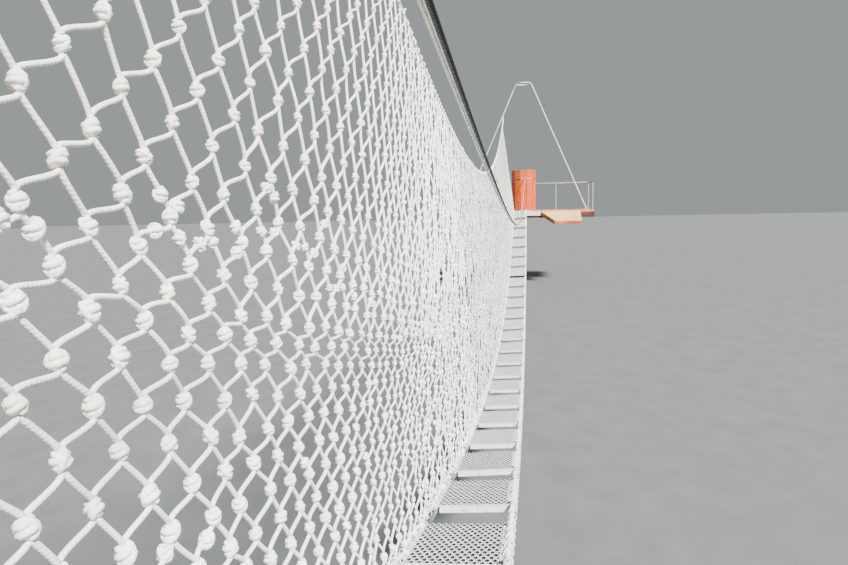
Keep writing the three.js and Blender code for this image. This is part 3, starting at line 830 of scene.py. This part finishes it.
def eye_lines(outward):
    """The tail of the head rope and the eye at its end."""
    end = head_line(np.array([1.0 if outward > 0 else 0.0]))[0]
    fall = HEAD_FAR_HEIGHT - HEAD_NEAR_HEIGHT
    lead = normed(np.array([outward, 0, (4 * HEAD_SAG + outward * fall) / SPAN]))
    square = np.cross(lead, [0, 1, 0])
    centre = end + lead * (HEAD_TAIL + EYE_RADIUS)
    turn = np.linspace(-math.pi, math.pi, 33)[:, None]
    loop = centre + EYE_RADIUS * (np.cos(turn) * lead + np.sin(turn) * square)
    return [np.linspace(end, centre - lead * EYE_RADIUS, 8), loop]


shares = np.linspace(0, 1, 401)
rope_along("head_rope", "net_head_rope", [head_line(shares), *eye_lines(-1), *eye_lines(1)],
           EDGE_ROPE_RADIUS, 12, white_rope)
for name, node, side, radius, sides, material in HAND_LINES:
    line = hang(shares, side, HAND_LINE_END_HEIGHT, HAND_LINE_SAG, 0, HAND_REACH)
    rope_along(name, node, [line], radius, sides, material)

# %% [markdown]
# Two steel cables carry the treads. Between the treads they could curve, but the treads are stiff,
# so each cable is straight under one and bends at its ends. Past the deck it runs level over the
# platforms, as far as the frame's own cable does.

# %% Deck cables
CABLE_SPREAD = 0.165


def deck_cable(label, side):
    node = f"deck_cable_{label}"
    low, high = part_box(node)
    line = evenly(lambda t: hang(t, side * CABLE_SPREAD, 0, DECK_SAG), TREADS)
    near, far = line[0].copy(), line[-1].copy()
    near[0] = low[0]
    far[0] = high[0]
    rope_along(f"{label}_deck_cable", node, [np.concatenate([[near], line, [far]])],
               CABLE_RADIUS, 12, galvanised)


for label, side in (("left", 1), ("right", -1)):
    deck_cable(label, side)

# %% [markdown]
# The hem of the net is not a clean line. A knot ties each foot mesh to the foot rope, more knots
# crowd between them, and the rope swells and wanders where cord is wound round it. So its line and
# its thickness get gentle random steps, and the same knots as the net's lie on it at all angles.

# %% Foot rope and hem knots
EDGE_POINTS = 1201
HEM_TIP_DEGREES = 60
HEM_KNOT_SIZE = 0.92
HEM_SCATTER = 0.006
CROWD_BETWEEN = 0.30
CROWD_ABOVE = 0.24


def smooth_noise(spread, step, low, high):
    """Gentle random steps: noise at every few points, joined by straight lines and limited."""
    coarse = rng.normal(0, spread, EDGE_POINTS // step + 2)
    noise = np.interp(np.arange(EDGE_POINTS) / step, np.arange(len(coarse)), coarse)
    return np.clip(noise, low, high)


def uneven_rope(name, node, line, wander, radius, swelling, sides):
    """A rope that wanders off its line along the given axes, and swells and thins."""
    for axis, steps in wander.items():
        line[:, axis] += smooth_noise(*steps)
    thickness = radius + smooth_noise(*swelling)
    mesh_piece(name, tubes(line[None], thickness[None], sides), white_rope, [node])


def hem_centres(first_column, last_column):
    """A knot at each foot mesh, with more crowded between them and just above."""
    columns = np.arange(first_column + first_column % 2, last_column, 2)
    tied = knots[columns, 0]
    between = (tied[:-1] + tied[1:]) / 2
    above = knots[columns, 2] * 0.3 + tied * 0.7
    crowd = np.concatenate([tied, between[rng.random(len(between)) < CROWD_BETWEEN],
                            above[rng.random(len(above)) < CROWD_ABOVE]])
    return crowd + rng.normal(0, HEM_SCATTER, crowd.shape) + np.array([0, 0.002, 0.002])


uneven_rope("foot_rope", "net_foot_rope", foot_line(np.linspace(0, 1, EDGE_POINTS)),
            {1: (0.006, 5, -0.010, 0.012), 2: (0.005, 5, -0.008, 0.014)},
            0.0064, (0.0014, 4, -0.002, 0.003), 8)
for label, first, last, template in (("near", 14, 56, fine_knot), ("middle", 56, 130, round_ball),
                                     ("far", 130, NET_HALF_COLUMNS, small_ball)):
    hem = placed(template, hem_centres(first, last), HEM_TIP_DEGREES, HEM_KNOT_SIZE)
    mesh_piece(f"hem_knots_{label}", hem, white_rope, ["net_foot_rope"])

# %% [markdown]
# Along the head rope, each top mesh hangs from a tight turn of rope whose cut end sticks up. Each
# turn could be a full wrapped knot, but from below only a ring and a stub show, so it is a ring
# tilted at random and a short straight end.

# %% Turns round the head rope
TURN_RADIUS = 0.0135


def head_turns():
    """A ring of rope and a cut end at each top mesh."""
    lines, ends = [], []
    a = np.linspace(0, 2 * np.pi, 9)[:, None]
    for place in knots[::2, NET_HALF_ROWS]:
        tilt = rng.normal(0, 0.3)
        side = np.array([math.sin(tilt) * 0.5, math.cos(tilt), 0])
        lines.append(place + TURN_RADIUS * (np.cos(a) * side + np.sin(a) * np.array([0, 0, 1])))
        lean = normed(np.array([rng.normal(0.2, 0.4), rng.normal(0.2, 0.5), 1.0]))
        ends.append([place + lean * 0.008, place + lean * rng.uniform(0.022, 0.038)])
    return joined([tubes(lines, ROPE_RADIUS, 5, (0.9, 0.1, 0.1)),
                   tubes(ends, ROPE_RADIUS, 5, (0.9, 0.3, 0.1))])


mesh_piece("head_rope_turns", head_turns(), white_rope, ["net_head_rope"])

# %% [markdown]
# A tread is expanded steel: sheet that is slit and pulled open, so its holes are staggered and its
# back edge is left scalloped. An image with holes would look flat from close by, so they are real.
# The tile here is a diamond with a hole in it, and such tiles fill the sheet without gaps. Each
# strand is a little twisted, as the pull leaves it. The walls of the holes are a piece of their
# own, coloured near black as painted shade, which stands for the dark that shows through the
# holes. A second skin below would add much and show little, so there is none.

# %% Expanded sheet
TREAD_WIDTH = 0.380
TREAD_LENGTH = 0.520
HOLE_PITCH_ACROSS = 0.0257
HOLE_PITCH_ALONG = 0.056
HOLE_HALF_WIDTH = 0.0076
HOLE_HALF_LENGTH = 0.0158
HOLES_IN_ROW = 13
STRAND_TWIST = 0.0015
RIM_TWIST = 0.0008
SHEET = 0.012
LEFT_BAR = 0.030
RIGHT_BAR = 0.045
FRONT_BAND = 0.014


def tile(corners):
    """One diamond with a hole: its edge, the hole's upper rim and its lower rim."""
    angle = 2 * np.pi * np.arange(corners) / corners
    twist = np.cos(2 * angle)
    reach = np.abs(np.cos(angle)) + np.abs(np.sin(angle))
    edge = np.stack([HOLE_PITCH_ALONG / 2 * np.cos(angle) / reach,
                     HOLE_PITCH_ACROSS / 2 * np.sin(angle) / reach, STRAND_TWIST * twist], axis=-1)
    rim = np.stack([HOLE_HALF_LENGTH * np.cos(angle), HOLE_HALF_WIDTH * np.sin(angle),
                    RIM_TWIST * twist], axis=-1)
    return np.concatenate([edge, rim, rim - np.array([0, 0, SHEET])])


def tile_centres():
    """Staggered rows of tiles, from the folded front to the open back of a tread."""
    half_row = HOLE_PITCH_ALONG / 2
    start = -TREAD_LENGTH / 2 + FRONT_BAND + half_row * 0.6
    middle = (RIGHT_BAR - LEFT_BAR) / 2
    centres = []
    for i in range(int((TREAD_LENGTH / 2 - start) / half_row)):
        count = HOLES_IN_ROW - i % 2
        y = (np.arange(count) - (count - 1) / 2) * HOLE_PITCH_ACROSS + middle
        centres.append(np.stack([np.full(count, start + i * half_row), y, np.zeros(count)], -1))
    return np.concatenate(centres)


def band_faces(corners, ring):
    """Triangles between one ring of a tile's corners and the next ring, all the way round."""
    k = ring * corners + np.arange(corners)
    n = ring * corners + (np.arange(corners) + 1) % corners
    quads = np.stack([k, n, corners + n, corners + k], axis=-1)
    return np.concatenate([quads[:, [0, 1, 2]], quads[:, [0, 2, 3]]])


def tread_field(corners, ring):
    """One band of every tile of a tread, cut off where the sheet ends, in the tread's own frame."""
    shape, centres = tile(corners), tile_centres()
    verts = (centres[:, None] + shape[None]).reshape(-1, 3)
    starts = (np.arange(len(centres)) * len(shape))[:, None, None]
    faces = (band_faces(corners, ring)[None] + starts).reshape(-1, 3)
    faces = faces[(verts[:, 0] < TREAD_LENGTH / 2)[faces].all(axis=1)]
    used, faces = np.unique(faces, return_inverse=True)
    return verts[used], faces.reshape(-1, 3), None


print("holes in a tread", len(tile_centres()))

# %% [markdown]
# A flat bar lies along both sides of a tread, and the front is folded down. Sawn and rolled edges
# are never sharp, so each bar, board and bolt here is a box whose edges are bevelled by a few
# tenths of a millimetre to a few millimetres: the light catches them as it does on the real ones.

# %% Tread shapes
def block(low, high, bevel=0.0015):
    """A box with small bevels, from two corners."""
    box = bmesh.new()
    bmesh.ops.create_cube(box, size=1.0)
    low, high = Vector(low), Vector(high)
    for vert in box.verts:
        vert.co = Vector([low[i] + (vert.co[i] + 0.5) * (high[i] - low[i]) for i in range(3)])
    bmesh.ops.bevel(box, geom=box.edges[:], offset=bevel, segments=1, affect="EDGES")
    bmesh.ops.triangulate(box, faces=box.faces[:])
    return arrays_of(box)


def tread_template(corners):
    """The shapes of a tread's painted steel and of its hole walls, which carry painted shade."""
    half_x, half_y = TREAD_LENGTH / 2, TREAD_WIDTH / 2
    front_band = block((-half_x, -half_y, -0.003), (-half_x + FRONT_BAND + 0.006, half_y, 0.0018))
    front_fold = block((-half_x, -half_y, -0.029), (-half_x + 0.004, half_y - 0.040, 0.0018))
    right_bar = block((-half_x, -half_y, -0.016), (half_x, -half_y + RIGHT_BAR, 0.0022))
    left_bar = block((-half_x, half_y - LEFT_BAR, -0.014), (half_x, half_y, 0.0022))
    steel = [tread_field(corners, 0), front_band, front_fold, right_bar, left_bar]
    return joined(steel), tread_field(corners, 1)


def bolt_heads():
    """Dark bolts through both side bars, near the front and a little behind it."""
    half, top = 0.008, 0.0085
    parts = []
    for y in (-TREAD_WIDTH / 2 + 0.036, TREAD_WIDTH / 2 - 0.020):
        for x in (-TREAD_LENGTH / 2 + 0.030, TREAD_LENGTH / 2 - 0.040):
            parts.append(block((x - half, y - half, 0.0), (x + half, y + half, top), 0.004))
    return joined(parts)


near_tread, far_tread = tread_template(8), tread_template(4)
print("triangles in a near tread", len(near_tread[0][1]), "and a far one", len(far_tread[0][1]))

# %% [markdown]
# Each tread lies on one straight stretch of cable. The photograph shows every tread a few degrees
# lower on the net's side, because that cable carries more of the load, so each is rolled about its
# own length. The fourth one has slipped 50 mm towards the near end, which leaves the wide gap
# after it. The first six have rounded holes, and those further off have plain diamonds.

# %% Placing the treads
TREAD_SHIFT = 0.085
NEAR_TREADS = 6
SLIPPED_TREAD = 3
SLIP = 0.050
SEEN_ROLL = {4: 4.2, 5: 5.4, 6: 4.1, 7: 3.5}
ROLL_DROP = 0.007


def bay_frame(index):
    """The middle of a tread's cable stretch, with its along and upward directions."""
    a, b = deck_points[index], deck_points[index + 1]
    along = normed(b - a)
    upward = np.array([-along[2], 0, along[0]])
    return (a + b) / 2, along, upward


def on_bay(index, shape, roll_degrees):
    """Carries a shape from a tread's own frame to its place, rolled with the net's side low."""
    middle, along, upward = bay_frame(index)
    verts = shape[0].copy()
    verts[:, 2] -= verts[:, 1] * math.tan(math.radians(roll_degrees)) + ROLL_DROP
    if index == SLIPPED_TREAD:
        verts[:, 0] -= SLIP
    axes = np.stack([along, [0, 1, 0], upward])
    return (verts @ axes + middle + along * TREAD_SHIFT + upward * TREAD_TOP, *shape[1:])


bolts, hole_walls = [], []
for index in range(TREADS):
    roll = SEEN_ROLL.get(index, rng.uniform(3.2, 4.6))
    steel, walls = near_tread if index < NEAR_TREADS else far_tread
    mesh_piece(f"tread_mesh_{index + 1:02d}", on_bay(index, steel, roll), tread_paint,
               [f"tread_{index + 1:02d}"], smooth=False)
    hole_walls.append(on_bay(index, walls, roll))
    bolts.append(on_bay(index, bolt_heads(), roll))
mesh_piece("tread_bolts", joined(bolts), bolt_steel, smooth=False)
# The hole walls carry near-black painted shade.
mesh_piece("tread_hole_walls", joined(hole_walls), hole_wall_shade, smooth=False)

# %% [markdown]
# A thin cord lashes the edge ropes to the treads. It winds round rope and side bar together, with a
# tight bunch of turns at each tread end. That makes the lumpy white strip along both edges. Rings
# would do from afar, but one winding line with a changing rate gives the slack turns too.

# %% Edge rope and lashings
LASH_RADIUS = 0.0034
LASH_POINTS = 92
LASH_LIFT = 0.002
LASH_OUT = 0.003
LOOP_HALF_WIDTH = 0.0165
LOOP_HALF_HEIGHT = 0.0205
TURNS_PER_METRE = 11
BUNCHED_TURNS_PER_METRE = 78
BUNCH_PLACES = (-0.20, 0.31)
BUNCH_WIDTH = 0.022


def lashing(side):
    """One winding line along the whole edge, tight at the ends of each tread."""
    lines = []
    phase = 0.0
    for index in range(TREADS):
        middle, along, upward = bay_frame(index)
        length = np.linalg.norm(deck_points[index + 1] - deck_points[index])
        stations = np.linspace(-length / 2, length / 2, LASH_POINTS, endpoint=False)
        bunched = sum(np.exp(-((stations - x) / BUNCH_WIDTH) ** 2) for x in BUNCH_PLACES)
        rate = 2 * np.pi * (TURNS_PER_METRE + BUNCHED_TURNS_PER_METRE * bunched)
        turns = phase + np.cumsum(rate) * (stations[1] - stations[0])
        phase = turns[-1]
        outward = np.array([0, side * (EDGE_ROPE_SPREAD + LASH_OUT), 0])
        centre = middle + upward * (TREAD_TOP + LASH_LIFT) + outward
        round_y = np.array([0, 1, 0]) * (LOOP_HALF_WIDTH * np.cos(turns))[:, None]
        round_z = upward * (LOOP_HALF_HEIGHT * np.sin(turns))[:, None]
        lines.append(centre + along * stations[:, None] + round_y + round_z)
    return np.concatenate(lines)


edge_line = hang(np.linspace(0, 1, EDGE_POINTS), -EDGE_ROPE_SPREAD, 0, DECK_SAG, ROPE_LIFT)
uneven_rope("right_edge_rope", "edge_rope_right", edge_line, {1: (0.0015, 6, -0.01, 0.01)},
            0.0098, (0.0018, 4, -0.0028, 0.0035), 10)
for label, side in (("left", 1), ("right", -1)):
    mesh_piece(f"edge_lashing_{label}", tubes(lashing(side)[None], LASH_RADIUS, 4, (1, 0, 0.02)),
               hem_cord)

# %% [markdown]
# Each end is a plank platform with a wide hole in its middle. The boards run across the bridge,
# with gaps of a few millimetres that let rain through, and they stop short of the hole. One slab
# with painted joints would be lighter, but the gaps show against the light. Everything at an end is
# made in that end's own frame and then turned to face the span.

# %% Platform boards
END_SETBACK = 0.750
END_SIDE = -0.100
PLATFORM_TOP = -CABLE_RADIUS - SEAT
PLATFORM_HALF_LENGTH = 0.725
PLATFORM_HALF_WIDTH = 2.000
PLANK_THICKNESS = 0.045
BOARD_WIDTH = 0.145
BOARD_GAP = 0.007
MIDDLE_HOLE = 0.335
UNEVEN_SAWING = 0.006
ENDS = ("near", "far")


def end_piece(name, label, shape, material, nodes=(), smooth=False):
    """Makes a piece of one end, from a shape with X away from the span and nodes named likewise."""
    outward = 1.0 if label == "far" else -1.0
    x = SPAN + END_SETBACK if label == "far" else -END_SETBACK
    origin = DECK_START + np.array([x, END_SIDE, PLATFORM_TOP])
    verts = shape[0] @ np.diag([outward, outward, 1.0]) + origin
    mesh_piece(f"{name}_{label}", (verts, *shape[1:]), material,
               [f"{node}_{label}" for node in nodes], smooth)


def plank_boards():
    count = int(2 * PLATFORM_HALF_LENGTH / BOARD_WIDTH)
    pitch = 2 * PLATFORM_HALF_LENGTH / count
    parts = []
    for i in range(count):
        x0 = -PLATFORM_HALF_LENGTH + i * pitch + BOARD_GAP / 2
        x1 = x0 + pitch - BOARD_GAP
        nearest = 0.0 if x0 < 0 < x1 else min(abs(x0), abs(x1))
        hole = math.sqrt(max(0.0, MIDDLE_HOLE ** 2 - nearest ** 2))
        ends = [-PLATFORM_HALF_WIDTH + rng.uniform(0, UNEVEN_SAWING),
                PLATFORM_HALF_WIDTH - rng.uniform(0, UNEVEN_SAWING)]
        spans = [(ends[0], -hole), (hole, ends[1])] if hole > 0.02 else [ends]
        for y0, y1 in spans:
            parts.append(block((x0, y0, -PLANK_THICKNESS), (x1, y1, -0.0002), 0.003))
    return joined(parts)


for label in ENDS:
    end_piece("platform_boards", label, plank_boards(), stained_across, ["platform_planks"])
    # The frame under the planks takes the dark beam colour as painted shade.
    for material_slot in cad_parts[f"platform_frame_{label}"].material_slots:
        material_slot.material = shaded_beam

# %% [markdown]
# On each side of the deck a wing slopes down from the platform's edge. Its boards could be turned
# into place one by one, but they are made flat and straight, and then each corner is moved: the
# inner ends follow a slanted edge, and the height falls with the distance from the platform. Boards
# on edge stiffen the slope from below. Between the wings the platform's edge is painted white.

# %% Wings
WING_RUN = 0.550
WING_DROP = 0.245
WING_INNER_BACK = 0.480
WING_INNER_FRONT = 0.865
WING_OUTER = 1.600
WING_BOARDS = 4
WING_BACK = -PLATFORM_HALF_LENGTH - SEAT
WING_FRONT = WING_BACK - WING_RUN
BOARD_UNDERSIDE = -0.0405


def on_slope(shape, side):
    """Shears a flat shape, made from y = 0 to 1, onto the slope of a wing on either side."""
    verts, faces, uvs = shape
    share = (WING_BACK - verts[:, 0]) / WING_RUN
    inner = WING_INNER_BACK + (WING_INNER_FRONT - WING_INNER_BACK) * share
    y = inner + (WING_OUTER - inner) * verts[:, 1]
    verts = np.stack([verts[:, 0], side * y, verts[:, 2] - WING_DROP * share], axis=-1)
    return verts, faces if side > 0 else faces[:, ::-1], uvs


def wing_boards(side):
    pitch = WING_RUN / WING_BOARDS
    parts = []
    for i in range(WING_BOARDS):
        x1 = WING_BACK - i * pitch - 0.002
        board = block((x1 - pitch + 0.005, 0, -0.040), (x1, 1, -0.0005), 0.002)
        parts.append(on_slope(board, side))
    return joined(parts)


def wing_fascia(side):
    """Boards on edge under the slope: along its inner edge, its front, its middle and its end."""
    spots = (((WING_FRONT + 0.002, 0.004, -0.125), (WING_BACK - 0.002, 0.035, BOARD_UNDERSIDE)),
             ((WING_FRONT + 0.002, 0.04, -0.110), (WING_FRONT + 0.030, 0.995, BOARD_UNDERSIDE)),
             ((WING_FRONT + 0.035, 0.55, -0.110), (WING_BACK - 0.002, 0.59, BOARD_UNDERSIDE)),
             ((WING_FRONT + 0.035, 0.955, -0.110), (WING_BACK - 0.002, 0.995, BOARD_UNDERSIDE)))
    return joined([on_slope(block(low, high, 0.002), side) for low, high in spots])


edge_board = block((-PLATFORM_HALF_LENGTH - 0.020, -WING_INNER_BACK, -0.130),
                   (-PLATFORM_HALF_LENGTH - 0.0005, WING_INNER_BACK, -0.0008), 0.003)
for label in ENDS:
    for kind, side in (("a", -1), ("b", 1)):
        wing = [f"platform_wing_{kind}"]
        # The slope boards are pale with painted sunlight.
        end_piece(f"wing_boards_{kind}", label, wing_boards(side), sunlit_slope, wing)
        end_piece(f"wing_fascia_{kind}", label, wing_fascia(side), sawn_beam, wing)
    end_piece("edge_board", label, edge_board, edge_paint)

# %% [markdown]
# A ring of upright slats stands round the hole of each platform as a guard. The slats are a little
# uneven at the top. Two slings hold them, each of three turns of wire rope that pull flat against
# the slats' faces and bend at the joints between them. A plain ring would float off the faces, so
# the radius follows a twelve-sided outline.

# %% Slat guards
GUARD_APOTHEM = 0.325
SLAT_THICKNESS = 0.025
SLAT_WIDTH = 0.171
SLAT_HEIGHT = 1.210
SLATS = 12
SLING_HEIGHTS = (0.0083, 0.9403)
SLING_OUT = 0.006
SLING_TURN_PITCH = 0.0052
SLING_RADIUS = 0.0045
SHARPEST_BEND = 0.975


def guard_slats():
    parts = []
    for i in range(SLATS):
        trim = rng.uniform(0.0, 0.012)
        verts, faces, uvs = block((GUARD_APOTHEM, -SLAT_WIDTH / 2, 0.0006),
                                  (GUARD_APOTHEM + SLAT_THICKNESS, SLAT_WIDTH / 2,
                                   SLAT_HEIGHT - trim), 0.003)
        c, s = math.cos(2 * math.pi * i / SLATS), math.sin(2 * math.pi * i / SLATS)
        parts.append((verts @ np.array([[c, s, 0], [-s, c, 0], [0, 0, 1]]), faces, uvs))
    return joined(parts)


def sling_lines():
    """Three turns at each of two heights, as lines round a twelve-sided guard."""
    angle = np.linspace(0, 2 * math.pi, 97)
    nearest = (angle + math.pi / SLATS) % (2 * math.pi / SLATS) - math.pi / SLATS
    flat = GUARD_APOTHEM + SLAT_THICKNESS + SLING_OUT
    radius = flat / np.maximum(np.cos(nearest), SHARPEST_BEND)
    lines = []
    for height in SLING_HEIGHTS:
        for turn in (-1, 0, 1):
            z = np.full_like(angle, height + turn * SLING_TURN_PITCH)
            lines.append(np.stack([radius * np.cos(angle), radius * np.sin(angle), z], -1))
    return np.array(lines)


for label in ENDS:
    end_piece("guard_slats", label, guard_slats(), stained_upright, ["trunk_guard"])
    end_piece("guard_slings", label, tubes(sling_lines(), SLING_RADIUS, 6, (0, 0, 1)),
              galvanised, ["trunk_guard"], smooth=True)

# %% [markdown]
# A rail of painted pipe stands on the back and both sides of each platform, welded up from straight
# lengths. So each length is a plain tube that meets the next one, and each post stands on a round
# flange, made as a very short wide tube that closes towards the post.

# %% Guard rails
RAIL_RADIUS = 0.024
RAIL_HEIGHT = 0.800
RAIL_INSET = 0.060
POST_PITCH = 0.970
RAIL_X = PLATFORM_HALF_LENGTH - RAIL_INSET
RAIL_Y = 2 * POST_PITCH
FLANGE_RADIUS = 0.052
FLANGE_TOP = 0.008


def pipe_run(start, end):
    return tubes(np.linspace(start, end, 3)[None], RAIL_RADIUS, 16, (0.3, 0.5, 0.2))


def foot_plate(x, y):
    radii = [[FLANGE_RADIUS, FLANGE_RADIUS, RAIL_RADIUS]]
    return tubes(np.linspace((x, y, SEAT), (x, y, FLANGE_TOP), 3)[None], radii, 16, (1, 0, 0))


def rail_pipes(kind):
    if kind == "back":
        posts = [(RAIL_X, i * POST_PITCH) for i in (-2, -1, 0, 1, 2)]
        run = ((RAIL_X, -RAIL_Y, RAIL_HEIGHT), (RAIL_X, RAIL_Y, RAIL_HEIGHT))
    else:
        y = -RAIL_Y if kind == "side_a" else RAIL_Y
        posts = [(-RAIL_X, y)]
        run = ((-RAIL_X, y, RAIL_HEIGHT), (RAIL_X - RAIL_RADIUS, y, RAIL_HEIGHT))
    parts = [pipe_run(*run)]
    for x, y in posts:
        parts += [pipe_run((x, y, SEAT), (x, y, RAIL_HEIGHT)), foot_plate(x, y)]
    return joined(parts)


for label in ENDS:
    for kind in ("back", "side_a", "side_b"):
        end_piece(f"rail_pipes_{kind}", label, rail_pipes(kind), pipe_paint,
                  [f"guard_rail_{kind}"], smooth=True)

# %% [markdown]
# The stays are wires that carry the platform's outer ends from a ring sling high above its middle.
# Each starts in a stout bolt on the planks and runs straight to the ring, because it is taut.

# %% Stays
STAY_HEIGHT = 3.7
STAY_RING = 0.215
STAY_FOOT = PLATFORM_HALF_WIDTH - 0.180
STAY_RADIUS = 0.0155
STAY_BOLT_RADIUS = 0.012
STAY_BOLT_TOP = 0.070
STAY_WIRE_START = 0.056
RING_LIFTS = (-0.0075, 0.0, 0.0075)


def stay_wires():
    parts = []
    for side in (-1, 1):
        foot = np.array([0, side * STAY_FOOT, 0.0])
        bolt = np.linspace(foot + [0, 0, SEAT], foot + [0, 0, STAY_BOLT_TOP], 4)
        parts.append(tubes(bolt[None], STAY_BOLT_RADIUS, 10, (1, 0, 0)))
        top = [0, side * STAY_RING, STAY_HEIGHT]
        wire = np.linspace(foot + [0, 0, STAY_WIRE_START], top, 40)
        parts.append(tubes(wire[None], STAY_RADIUS, 10, (1, 0, 0)))
    angle = np.linspace(0, 2 * math.pi, 49)
    for lift in RING_LIFTS:
        ring = np.stack([STAY_RING * np.cos(angle), STAY_RING * np.sin(angle),
                         np.full_like(angle, STAY_HEIGHT + lift)], -1)
        parts.append(tubes(ring[None], SLING_RADIUS, 6, (0, 0, 1)))
    return joined(parts)


for label in ENDS:
    end_piece("stay_wires", label, stay_wires(), pale_wire, ["platform_stays"], smooth=True)

# %% [markdown]
# The stage is a plain floor under the bridge. It renders pale in strong light, and its own colour
# is kept well below white, so that the white ropes stand out from it.

# %% Stage
FLOOR_DROP = 0.45
FLOOR_REACH = 60.0

low_corner, high_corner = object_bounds()
floor_z = low_corner[2] - FLOOR_DROP
middle_x = (low_corner[0] + high_corner[0]) / 2
floor_mesh = bpy.data.meshes.new("studio_floor")
floor_mesh.from_pydata([(middle_x + a * FLOOR_REACH, b * FLOOR_REACH, floor_z)
                        for a, b in ((-1, -1), (1, -1), (1, 1), (-1, 1))], [], [(0, 1, 2, 3)])
floor = bpy.data.objects.new("studio_floor", floor_mesh)
bpy.context.collection.objects.link(floor)
floor_mesh.materials.append(paint_material("pale_studio_floor",
                                           [(0.3, "5b5f5e"), (0.5, "5f6361"), (0.7, "636765")],
                                           roughness=0.9, worn_per_metre=3, relief=0.02))
print("floor height", round(float(floor_z), 3))

# %% [markdown]
# Strong daylight from behind and to the right is what makes the ropes so white. A sun does that,
# and its wide angle softens the shadows as a large studio lamp would. An even grey sky fills the
# shade, and stands behind the bridge as a plain backdrop.

# %% Light
SKY_STRENGTH = 0.8
SUN_STRENGTH = 15.0
SUN_ANGLE_DEGREES = 9
SUN_DIRECTION = Vector((0.55, 0.5, -0.75))

world = bpy.data.worlds.new("studio_sky")
bpy.context.scene.world = world
world.use_nodes = True
sky = world.node_tree.nodes["Background"]
sky.inputs["Color"].default_value = linear("aeb4b3")
sky.inputs["Strength"].default_value = SKY_STRENGTH

sun_data = bpy.data.lights.new("soft_sun", "SUN")
sun_data.energy = SUN_STRENGTH
sun_data.angle = math.radians(SUN_ANGLE_DEGREES)
sun = bpy.data.objects.new("soft_sun", sun_data)
sun.rotation_euler = SUN_DIRECTION.to_track_quat("-Z", "Y").to_euler()
bpy.context.collection.objects.link(sun)
print("triangles in all", sum(counts.values()), "largest piece", max(counts.values()))
